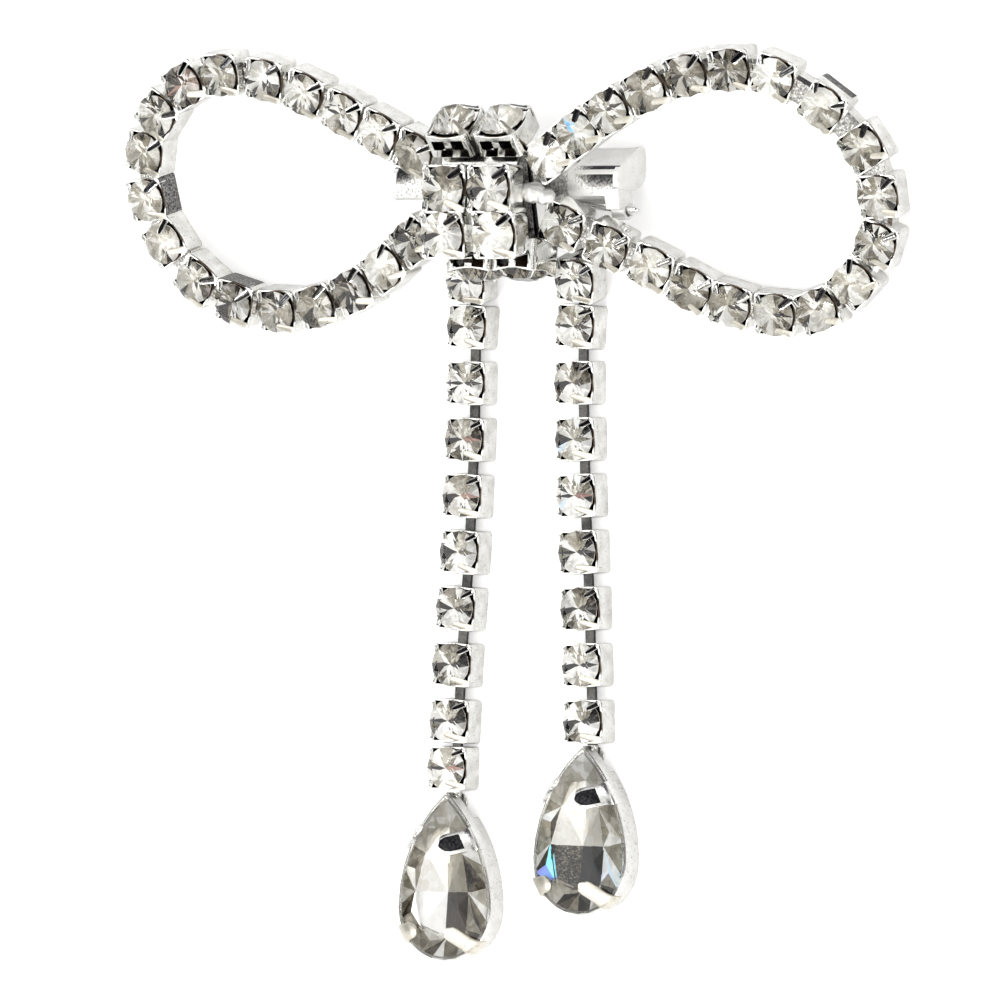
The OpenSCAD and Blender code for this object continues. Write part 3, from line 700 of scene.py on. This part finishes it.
# Knot: cups with windows, on the solid middle that the frame gives
WINDOW_BREAKS = [-1.7, -1.476, -0.328, 0.328, 1.476, 1.7]
WINDOWS = ((2, 1, 1), (2, 1, 3), (2, 3, 1), (2, 3, 3))
metal = node_points("knot_setting")
knot_places = [stone_place(islands(f"knot_stone_{number}")[0], metal) for number in range(1, 9)]
knot = Maker()
for number, (place, r) in enumerate(knot_places, 1):
    # The last row leans away, so that its windows show over the edge of the row before
    levels, rim = ((1.2, 2.46), 2.6) if number > 6 else ((0.81, 1.74), 2.22)
    cup(knot, place, KNOT_SIDE, WINDOW_BREAKS, levels, WINDOWS, wall=0.18, rim=rim)
    prongs(knot, place, KNOT_SIDE, r, draw, KNOT_PRONGS)

# How far over a cup's foot its solid shape reaches, and a hair round it
COVERED = 4.2
HAIR = 0.02


def outside_cups(point):
    half = KNOT_SIDE / 2 + HAIR
    for place, _ in knot_places:
        local = place.inverted() @ point
        if max(abs(local.x), abs(local.y)) < half and -HAIR < local.z < COVERED:
            return False
    return True


def solder_blob(maker, centre, reach):
    """A rounded lump of solder, a little uneven."""
    rows, count = 7, 14
    points = []
    for i in range(1, rows):
        tilt = math.pi * (i / rows - 0.5)
        for k, p in enumerate(hoop(Z_WAY * math.sin(tilt), X_WAY, Y_WAY, math.cos(tilt), count)):
            swell = 1 + 0.09 * math.sin(1.9 * i + 4.6 * math.pi * k / count) * math.cos(tilt)
            points.append(centre + p * reach * swell)
    faces = quads(rows - 1, count)
    first, last = len(points), len(points) + 1
    points += [centre - Z_WAY * reach.z, centre + Z_WAY * reach.z]
    for j in range(count):
        faces.append([first, (j + 1) % count, j])
        faces.append([last, first - count + j, first - count + (j + 1) % count])
    maker.add(points, faces, slot=2)


solder_blob(knot, Vector((4.7, -2.95, 7.5)), Vector((1.2, 0.95, 1.0)))
solder_blob(knot, Vector((5.75, -3.3, 7.2)), Vector((0.95, 0.7, 0.85)))
source = nodes["knot_setting"].data
for face in source.polygons:
    if outside_cups(Vector(face.center) / MM):
        corners = [Vector(source.vertices[v].co) / MM for v in face.vertices]
        y = face.center.y / MM
        tone = 0.46
        # Painted shade: the side that faces right is darker, and darkest in its lower part
        if face.normal.x > 0.4:
            tone = 0.2 if -2.4 < y < 0 else 0.02 if -6.3 < y < -3.1 else 0.3
        knot.add(corners, [list(range(len(corners)))], tones=[tone])
settle(knot.build("knot_cups", [PLATING, WARM, SATIN], repair=False), METAL_SLOT, "knot_setting")
for number, (place, r) in enumerate(knot_places, 1):
    maker = Maker()
    if number < 3:
        tones = lighter_tones(draw, 0.08)
    else:
        tones = shaded_tones(draw) if number > 6 else loop_tones(draw)
    round_stone(maker, place, r, tones)
    settle(maker.build(f"knot_glass_{number}", STONE_PARTS, crease=0), GLASS_SLOT, f"knot_stone_{number}")

# Pears
PEAR_W = 8.9
PEAR_L = 14.1
PEAR_TIP = PEAR_L - PEAR_W / 2
SOLID_GLASS_W = 7.86
SOLID_GLASS_L = 12.77
GLASS_W = 8.7
GLASS_L = 13.8
GLASS_RIM = 2.4
GLASS_TOP = 3.35
EYE_Y = PEAR_TIP - 0.9


def big_radius(w, l):
    """The radius of the long arcs of a pear shape."""
    r, tip = w / 2, l - w / 2
    return (r * r + tip * tip) / (2 * r)


def pear_line(w, l, round_steps=32, arc_steps=16):
    """A round end of radius w / 2 about the origin, with two long arcs that meet in a tip at +Y."""
    r = w / 2
    big = big_radius(w, l)
    sweep_angle = math.asin((l - r) / big)
    line = []
    for i in range(round_steps + 1):
        a = -math.pi + math.pi * i / round_steps
        line.append(Vector((r * math.cos(a), r * math.sin(a), 0)))
    arc = []
    for i in range(1, arc_steps + 1):
        a = sweep_angle * i / arc_steps
        arc.append(Vector((r - big + big * math.cos(a), big * math.sin(a), 0)))
    return line + arc + [Vector((-p.x, p.y, 0)) for p in arc[-2::-1]]


def pear_place(name):
    points = node_points(name)
    keel = points[np.argmin(points[:, 2])]
    rim = points[np.abs(points[:, 2] - GLASS_RIM) < 0.01]
    tip = rim[np.argmax(np.linalg.norm(rim[:, :2] - keel[:2], axis=1))]
    way = (tip - keel)[:2] / np.linalg.norm((tip - keel)[:2])
    centre = tip[:2] - way * (SOLID_GLASS_L - SOLID_GLASS_W / 2)
    return place_from((centre[0], centre[1], 0), (way[1], -way[0], 0), (way[0], way[1], 0), (0, 0, 1))


def pear_setting(maker, place):
    # Columns: height, how far the outside steps in, how far the inside steps in
    levels = [
        (0.0, 0.1, 0.42), (0.1, 0.0, 0.42), (0.9, 0.02, 0.44), (1.6, 0.0, 0.46),
        (2.1, 0.0, 0.47), (2.24, 0.02, 0.4), (2.29, 0.1, 0.26)]
    floor = 0.4
    outer, inner = [], []
    for z, out_in, inside_in in levels:
        line = pear_line(PEAR_W - 2 * out_in, PEAR_L - 2.2 * out_in)
        outer.append([p + Z_WAY * z for p in line])
        line = pear_line(PEAR_W - 2 * inside_in, PEAR_L - 2.6 * inside_in)
        inner.append([p + Z_WAY * max(z, floor) for p in line])
    count = len(outer[0])
    base = len(levels) * count
    faces = []
    for level in range(len(levels) - 1):
        for k in range(count):
            a, b = level * count + k, level * count + (k + 1) % count
            middle_y = (outer[level][k].y + outer[level][(k + 1) % count].y) / 2
            # The wall is open low down at the tip, round the eye
            if level < 2 and middle_y > EYE_Y - 1.2:
                if level == 1:
                    faces.append([a + count, b + count, base + b + count, base + a + count])
                continue
            faces.append([a, b, b + count, a + count])
            if level > 0:
                faces.append([base + a, base + a + count, base + b + count, base + b])
    top = (len(levels) - 1) * count
    for k in range(count):
        a, b = top + k, top + (k + 1) % count
        faces.append([a, b, base + b, base + a])
    floor_line = [k for k in range(count) if outer[0][k].y <= EYE_Y - 1.15]
    faces.append(floor_line[::-1])
    faces.append([base + count + k for k in floor_line])
    maker.add(sum(outer + inner, []), faces, place)
    # The eye at the tip, and the strap that joins it to the floor
    steps = 28
    section = (
        (0.85, 0.05), (0.85, 0.21), (0.8, 0.26), (0.43, 0.26),
        (0.38, 0.21), (0.38, 0.05), (0.43, 0.0), (0.8, 0.0))
    eye = []
    for k in range(steps):
        a = 2 * math.pi * k / steps
        eye += [Vector((reach * math.cos(a), EYE_Y + reach * math.sin(a), z)) for reach, z in section]
    maker.add(eye, quads(steps, len(section), closed=True), place)
    low, high = EYE_Y - 2.1, EYE_Y - 0.6
    strap = ((-0.5, low), (0.5, low), (0.5, high), (-0.5, high))
    sweep(maker, place, [[Vector((x, y, z)) for x, y in strap] for z in (0.0, 0.26)])


def pear_prong(maker, place, share, side, length, width, turn, pitch, lift, top):
    """A rounded tongue that stands up the wall and folds in over the stone."""
    r = PEAR_W / 2
    big = big_radius(PEAR_W, PEAR_L)
    y = share * PEAR_TIP
    a = math.asin(y / big) if share > 0 else math.asin(y / r)
    x = r - big + big * math.cos(a) if share > 0 else r * math.cos(a)
    fold = math.radians(pitch)
    # The path runs along the wall, then inwards: distance out from the wall's outside, height
    edge, edge_z = -0.2, 2.78 + lift
    path = [(-0.03, 1.3), (0.02, 1.9), (0.02, 2.4), (-0.05, 2.62), (edge, edge_z)]
    steps = 7
    for k in range(1, steps + 1):
        d = length * k / steps
        path.append((edge - d * math.cos(fold), edge_z + d * math.sin(fold) * (1 - 0.28 * k / steps)))
    thick = 0.26
    section = tab_section(-0.5 * thick, 0.2 * thick, 0.5 * thick, 0.72)
    rings = []
    for k, (out, z) in enumerate(path):
        w = width * (1.12 if k < 5 else 1.0)
        to_end = length * math.cos(fold) - max(0.0, edge - out)
        if to_end < width / 2:
            w = 2 * math.sqrt(max((width / 2) ** 2 - (width / 2 - to_end) ** 2, 0.02))
        aside = math.tan(math.radians(turn)) * length * max(0, k - 4) / steps
        middle = Vector((out, aside, z))
        up = square_to(path, k)
        rings.append([middle + Y_WAY * (s * w / 2) + up * t for s, t in section])
    spot = Matrix.Translation((x, y, 0)) @ Matrix.Rotation(a, 4, "Z")
    if side < 0:
        spot = Matrix.Scale(-1, 4, X_WAY) @ spot
    # A prong that stands up steeply shows its edges and back as much as its top
    shown = (3,) if pitch < 50 else range(6)
    # The top is painted darker, painted shade; a prong without it takes the paler plating, painted light
    first = 5 if top < 0.1 else 3
    faces = 6 * (len(path) - 1) + 2
    tones = [top if i % 6 in shown and i // 6 > first else 0.5 for i in range(faces)]
    sweep(maker, place @ spot, rings, tones, 1 if top >= 0.5 else 0)


def pear_stone(maker, place, mains, mains_slots, fires, draw):
    """Crown with a long eight-sided table, and a pavilion of four big facets under it."""
    line = pear_line(GLASS_W, GLASS_L, 12, 6)
    count = len(line)
    # The rim's corner at each of the table's eight corners, from the lower end round by the right
    anchors = [6, 9, 12, 15, 18, 21, 0, 3]
    # For each side of the table, the steps of the rim between its corners
    spans = [(b - a) % count for a, b in zip(anchors, anchors[1:] + anchors[:1])]
    table = [
        Vector((x, y, GLASS_TOP)) for x, y in (
            (0.0, -2.15), (1.55, -1.75), (1.95, 0.2), (1.45, 3.2),
            (0.0, 5.6), (-1.45, 3.2), (-1.95, 0.2), (-1.55, -1.75))]
    rim = [p + Z_WAY * (GLASS_RIM + 0.06) for p in line]
    girdle = [p + Z_WAY * (GLASS_RIM - 0.06) for p in line]
    belt = []
    for k in range(8):
        between = (table[k] + table[(k + 1) % 8]) / 2
        edge = line[(anchors[k] + spans[k] // 2) % count]
        spot = between * 0.38 + edge * 0.62
        belt.append(Vector((spot.x, spot.y, GLASS_RIM + 0.52)))
    points = table + belt + rim + girdle
    # First points of the table, the belt, the rim, the girdle and the pavilion, and the culet
    t, s, m, g = 0, 8, 16, 16 + count
    low, c = len(points), len(points) + 8
    faces = [[t + k for k in range(8)]]
    for k in range(8):
        a, after = anchors[k], (k + 1) % 8
        faces.append([t + k, s + k, t + after])
        faces.append([t + k, m + a, s + k])
        faces.append([t + after, s + k, m + anchors[after]])
        for j in range(spans[k]):
            faces.append([s + k, m + (a + j) % count, m + (a + j + 1) % count])
    for k in range(count):
        faces.append([m + k, g + k, g + (k + 1) % count, m + (k + 1) % count])
    crown = len(faces)
    points += [
        Vector((x, y, 1.25)) for x, y in (
            (0.0, -2.3), (1.7, -1.6), (1.85, 1.3), (1.2, 4.4),
            (0.0, 6.6), (-1.75, 4.4), (-2.7, 1.3), (-2.2, -1.5))]
    points.append(Vector((0, 1.3, 0.66)))
    # Lower right, upper right, upper left, lower left
    faces += [[c, low + (k + 2) % 8, low + k + 1, low + k] for k in (0, 2, 4, 6)]
    tones = list(mains)
    for k in range(8):
        edge = [g + (anchors[k] + j) % count for j in range(spans[k] + 1)]
        half = spans[k] // 2
        # The facets towards the tip are painted pale: painted reflection
        choices = (0.62, 0.7, 0.8) if k in (3, 4) else (0.04, 0.2, 0.36, 0.46, 0.56, 0.7, 0.95)
        for j in range(spans[k]):
            near = low + k if j < half or spans[k] == 1 else low + (k + 1) % 8
            faces.append([near, edge[j + 1], edge[j]])
            tones.append(draw.choice(choices))
        # The broad facet between two main ones is cut into three round a low point
        corners = [low + k, low + (k + 1) % 8, edge[half]]
        points.append(sum((points[i] for i in corners), Vector()) / 3 - Z_WAY * 0.12)
        for j in range(3):
            faces.append([corners[j], corners[(j + 1) % 3], len(points) - 1])
            tones.append(fires.get((k, j)) or draw.choice(choices))
    slots = [0] * crown + mains_slots + [6 if x < 1.5 else foil_slot(x) for x in tones[4:]]
    maker.add(points, faces, place, slots, [0.5] * crown + tones)


# Painted reflections in the four big facets, lower right, upper right, upper left and lower left: tones,
# then material slots
PEAR_TONES = {"left": (0.1, 0.52, 0.78, 1.05), "right": (-0.05, 0.72, 0.76, 0.0)}
PEAR_FOILS = {"left": [5, 5, 5, 5], "right": [5, 5, 5, 7]}
# Tones of single small facets, painted glints: the side they lie on, and which of its three
PEAR_FIRES = {"left": {}, "right": {(6, 0): 2.16, (6, 1): 2.02, (1, 0): 1.1, (1, 1): 2.45}}
# Columns: place along the side, side, length, width, turn, pitch, lift, tone of the top, which is painted
# shade
PEAR_PRONG_TABLE = [
    (0.61, 1, 2.95, 1.85, 12, 26, 0.0, 0.02), (-0.34, 1, 2.65, 1.35, -14, 22, 0.0, 0.5),
    (0.60, -1, 2.2, 1.9, 36, 62, 0.1, 0.42), (-0.24, -1, 2.1, 1.5, -12, 36, 0.0, 0.5)]
for side in ("left", "right"):
    place = pear_place(f"pear_stone_{side}")
    maker = Maker()
    pear_setting(maker, place)
    for row in PEAR_PRONG_TABLE:
        pear_prong(maker, place, *row)
    settle(maker.build(f"pear_cup_{side}", [WALLS, WARM]), METAL_SLOT, f"pear_setting_{side}")
    maker = Maker()
    pear_stone(maker, place, PEAR_TONES[side], PEAR_FOILS[side], PEAR_FIRES[side], draw)
    settle(maker.build(f"pear_glass_{side}", STONE_PARTS, crease=0), "pear_glass", f"pear_stone_{side}")

# Finding: one sheet bent over at the top, with an ear at each end and a catch
BAR_FRONT = -0.85
BAR_TOP = 1.5
BAR_LEFT = -10.3
BAR_RIGHT = 11.4
BAR_SHEET = 0.45
BAR_HEIGHT = 2.3
PIN_D = 0.95
PIN_FROM = Vector((BAR_LEFT + 0.95, BAR_TOP - 1.2, BAR_FRONT - 3.0))
PIN_TO = Vector((BAR_RIGHT + 0.75, BAR_TOP - 3.85, BAR_FRONT - 1.5))
on_bow = Matrix.Translation((0, -FOOT_Y, BOW_LIFT)) @ Matrix.Rotation(BOW_LEAN, 4, "X")


def bar_point(x, depth, height):
    return Vector((x, BAR_TOP + height, BAR_FRONT - depth))


# Section of the sheet, as depth behind the front and height over the crease: the outside, from below
BEND_R = 2.05
BEND_LOW = -1.55
section = [(0.03, -BAR_HEIGHT), (0.03, -1.95), (0.03, -1.75)]
for k in range(19):
    turn = math.radians(45 * k / 18)
    section.append((BEND_R * (1 - math.cos(turn)) + 0.03, BEND_LOW + BEND_R * math.sin(turn)))
section += [(0.7, -0.04), (0.8, 0.03), (0.95, 0.07), (1.2, 0.13), (4.0, 0.76), (4.5, 0.8), (5.05, 0.6)]
inside = [(d + 0.32, h - 0.34) for d, h in section]


def bend_tones(x):
    """Painted shade and dark reflection: a dark line along the crease and a dark band under it, both fading
    away from the ends.
    """
    depth = max(0.0, min(1.0, (x - 6.8) / 2.4 if x > 0 else (-7.7 - x) / 1.2))
    top = -0.56 if x > 0 else -0.15
    # The front of the left end is painted a little darker: painted shade
    front = 0.5 if x > 0 else 0.38
    row = []
    for (_, low), (_, high) in zip(section, section[1:]):
        h = (low + high) / 2
        shade = 0.5
        if -1.9 < h < top:
            shade = 0.05 + 0.45 * ((top - h) / 1.34) ** 1.5
        if -0.14 < h < 0.06:
            shade = 0.02
        tone = 0.5 - depth * max(0.0, 0.5 - shade)
        row.append(min(tone, front) if h < 0 else tone)
    return row + [0.5] * (2 * len(section) - len(row))


finding = Maker()
tones = []
# The sheet ends a little inside the ears
stations = [BAR_LEFT + 0.05, -9.8, -9.4, -9.1, -8.8, -8.5, -8.2, -7.9, -7.6, 6.6]
stations += [7.0 + 0.3 * k for k in range(10)] + [BAR_RIGHT - 0.05]
rings = [[bar_point(x, d, h) for d, h in section + inside[::-1]] for x in stations]
for x, after in zip(stations, stations[1:]):
    tones += bend_tones((x + after) / 2)
sweep(finding, on_bow, rings, tones)

# Outline of an ear, as depth and height
EAR = [
    (0.03, -0.95), (0.3, -0.3), (0.75, 0.0), (4.0, 0.84), (4.6, 0.88), (5.1, 0.68), (5.25, 0.35),
    (5.2, -0.3), (5.0, -1.2), (4.75, -1.75), (4.0, -2.3), (2.7, -2.48), (1.5, -2.2), (0.7, -1.9),
    (0.03, -1.7)]
EAR_MIDDLE = (2.6, -0.7)


def ear_ring(x, shrink):
    depth, height = EAR_MIDDLE
    return [bar_point(x, depth + (d - depth) * shrink, height + (h - height) * shrink) for d, h in EAR]


for start in (BAR_LEFT, BAR_RIGHT - BAR_SHEET):
    steps = ((0.0, 0.99), (0.02, 1.0), (BAR_SHEET - 0.02, 1.0), (BAR_SHEET, 0.99))
    sweep(finding, on_bow, [ear_ring(start + at, shrink) for at, shrink in steps])

# The rivet in the left ear, which the pin turns on
rivet = []
for at, radius in ((-0.16, 0.5), (-0.1, 0.62), (0.0, 0.66), (BAR_SHEET, 0.66), (BAR_SHEET + 0.12, 0.5)):
    middle = Vector((BAR_LEFT + at + 0.02, PIN_FROM.y, PIN_FROM.z))
    rivet.append(hoop(middle, Y_WAY, Z_WAY, radius))
sweep(finding, on_bow, rivet)


def rounded_block(maker, place, low, high, bevel):
    """A block with cut edges, between two corners."""
    rings = []
    for x, cut in ((low.x, bevel), (low.x + bevel, 0), (high.x - bevel, 0), (high.x, bevel)):
        y0, y1, z0, z1 = low.y + cut, high.y - cut, low.z + cut, high.z - cut
        corners = (
            (y0 + bevel, z0), (y1 - bevel, z0), (y1, z0 + bevel), (y1, z1 - bevel),
            (y1 - bevel, z1), (y0 + bevel, z1), (y0, z1 - bevel), (y0, z0 + bevel))
        rings.append([Vector((x, y, z)) for y, z in corners])
    sweep(maker, place, rings)


CATCH_HALF = PIN_D / 2 + 0.35
tab_low = Vector((BAR_RIGHT - 1.4, PIN_TO.y + CATCH_HALF - BAR_SHEET, BAR_FRONT - 1.5 - CATCH_HALF))
tab_high = Vector((BAR_RIGHT - 0.04, BAR_TOP - BAR_HEIGHT + BAR_SHEET, BAR_FRONT))
rounded_block(finding, on_bow, tab_low, tab_high, 0.04)
# The catch is a thick ring with a slot at its mouth, drawn as a curl of sheet round the pin
CURL_SECTION = (
    (CATCH_HALF, -1.3), (CATCH_HALF, -0.14), (CATCH_HALF - 0.04, -0.08),
    (CATCH_HALF - 0.26, -0.08), (CATCH_HALF - 0.3, -0.14), (CATCH_HALF - 0.3, -1.3))
curl = []
for k in range(25):
    a = math.radians(100 + 330 * k / 24)
    curl.append([
        Vector((BAR_RIGHT + x, PIN_TO.y + radius * math.sin(a), PIN_TO.z + radius * math.cos(a)))
        for radius, x in CURL_SECTION])
sweep(finding, on_bow, curl)
settle(finding.build("pin_back", [SATIN]), "finding", "pin_bar")

pin = Maker()
way = (PIN_TO - PIN_FROM).normalized()
side_way = way.cross(Z_WAY).normalized()
up_way = side_way.cross(way)
length = (PIN_TO - PIN_FROM).length
pin_rings = []
for at, radius in (
        (-0.2, 0.36), (-0.12, 0.45), (0.0, PIN_D / 2), (length - 3.4, PIN_D / 2), (length - 0.75, 0.46),
        (length - 0.3, 0.4), (length - 0.02, 0.28), (length + 0.16, 0.14), (length + 0.22, 0.03)):
    pin_rings.append(hoop(PIN_FROM + way * at, side_way, up_way, radius))
sweep(pin, on_bow, pin_rings)
settle(pin.build("pin", [STEEL]), "finding", "pin_wire")

# The links keep their own shape
# Their material paints the dark and the bright reflections of the links
for side, eye_y in (("left", -52.6), ("right", -48.9)):
    for slot in nodes[f"tail_{side}_links"].material_slots:
        slot.material = link_metal(f"link_metal_{side}", eye_y)


# Surface, light and camera
def make_floor():
    reach = 3.0
    corners = [(x * reach, y * reach, 0) for x, y in ((-1, -1), (1, -1), (1, 1), (-1, 1))]
    mesh = bpy.data.meshes.new("surface")
    mesh.from_pydata(corners, [], [(0, 1, 2, 3)])
    floor = bpy.data.objects.new("surface", mesh)
    bpy.context.scene.collection.objects.link(floor)
    material = tinted("pale_surface", 40, 3, (0.9, 0.9, 0.9), (0.93, 0.93, 0.93), {
        "Roughness": 0.9, "Specular IOR Level": 0.1})
    tree = material.node_tree
    # Lit from below as well, as a light table is: faintly for the brooch, more for the eye
    plain = tree.nodes["Principled BSDF"].outputs["BSDF"]
    lit = []
    for strength in (0.06, 0.42):
        glow = node(tree, "Emission", {"Strength": strength}).outputs["Emission"]
        lit.append(node(tree, "AddShader", {0: plain, 1: glow}).outputs["Shader"])
    seen = node(tree, "LightPath").outputs["Is Camera Ray"]
    both = node(tree, "MixShader", {"Fac": seen, 1: lit[0], 2: lit[1]}).outputs["Shader"]
    fill(tree, tree.nodes["Material Output"], {"Surface": both})
    mesh.materials.append(material)


def make_world():
    """A white tent with dark gaps, a few soft grey bands and some small bright lamps."""
    world = bpy.data.worlds.new("tent")
    bpy.context.scene.world = world
    world.use_nodes = True
    tree = world.node_tree
    toward = node(tree, "TexCoord").outputs["Generated"]
    # Columns: direction, half angle, softness, radiance
    patches = [
        ((-0.45, -0.1, 0.89), 22, 14, (1.9, 1.9, 1.88)),
        ((0.3, -0.75, 0.6), 20, 14, (1.9, 1.88, 1.85)),
        ((0.0, 0.86, 0.5), 12, 9, (0.3, 0.29, 0.29)),
        ((-0.42, 0.64, 0.62), 14, 9, (0.03, 0.03, 0.03)),
        ((0.38, 0.68, 0.62), 15, 7, (0.07, 0.06, 0.065)),
        ((0.5, 0.02, 0.866), 9, 6, (0.06, 0.05, 0.05)),
        ((0.93, 0.3, 0.22), 11, 8, (0.1, 0.08, 0.075)),
        ((-0.97, -0.1, 0.2), 10, 8, (0.07, 0.07, 0.08)),
        ((0.0, -0.98, 0.16), 9, 8, (0.14, 0.11, 0.1)),
        ((0.75, -0.45, 0.48), 6, 4, (0.2, 0.15, 0.12)),
        ((-0.75, 0.5, 0.4), 6, 3, (2.6, 2.6, 2.7)),
        ((0.1, -0.45, 0.88), 3.5, 1, (16, 16, 16)),
        ((0.78, 0.1, 0.6), 3.5, 1, (16, 16, 15)),
        ((-0.78, -0.45, 0.45), 3.5, 1, (16, 15.5, 15)),
        ((0.25, 0.45, 0.86), 3, 1, (14, 14, 15)),
    ]
    colour = (0.92, 0.92, 0.91, 1)
    for direction, wide, soft, radiance in patches:
        way = Vector(direction).normalized()
        facing = node(tree, "VectorMath", {0: toward, 1: way}, operation="DOT_PRODUCT").outputs["Value"]
        # 1 towards the direction, falling to 0 outside the angle
        low, high = math.cos(math.radians(wide + soft)), math.cos(math.radians(wide))
        share = map_range(tree, facing, low, high, interpolation_type="SMOOTHSTEP")
        colour = mixed(tree, colour, (*radiance, 1), share)
    # The camera sees plain white behind the surface
    seen = node(tree, "LightPath").outputs["Is Camera Ray"]
    fill(tree, tree.nodes["Background"], {"Color": mixed(tree, colour, (1, 1, 1, 1), seen), "Strength": 1.0})


def make_camera():
    """A far camera over the brooch, turned to its right: 12 pixels of its picture are a millimetre."""
    picture, scale = 1000, 12
    # The middle of the picture across the view and up the brooch, and its height over the surface
    across, middle_y, height = -2.333, -28.464, 3.0
    data = bpy.data.cameras.new("camera")
    data.lens = 800
    data.sensor_width = 36
    data.clip_start = 0.01
    data.clip_end = 20
    camera = bpy.data.objects.new("camera", data)
    bpy.context.scene.collection.objects.link(camera)
    bpy.context.scene.camera = camera
    distance = picture / scale * MM * data.lens / data.sensor_width
    middle_x = (across + height * math.sin(VIEW_ANGLE)) / math.cos(VIEW_ANGLE)
    target = Vector((middle_x, middle_y, height)) * MM
    camera.location = target + Vector((math.sin(VIEW_ANGLE), 0, math.cos(VIEW_ANGLE))) * distance
    camera.rotation_euler = (0, VIEW_ANGLE, 0)


make_floor()
make_world()
make_camera()
bpy.context.scene.view_settings.view_transform = "Standard"
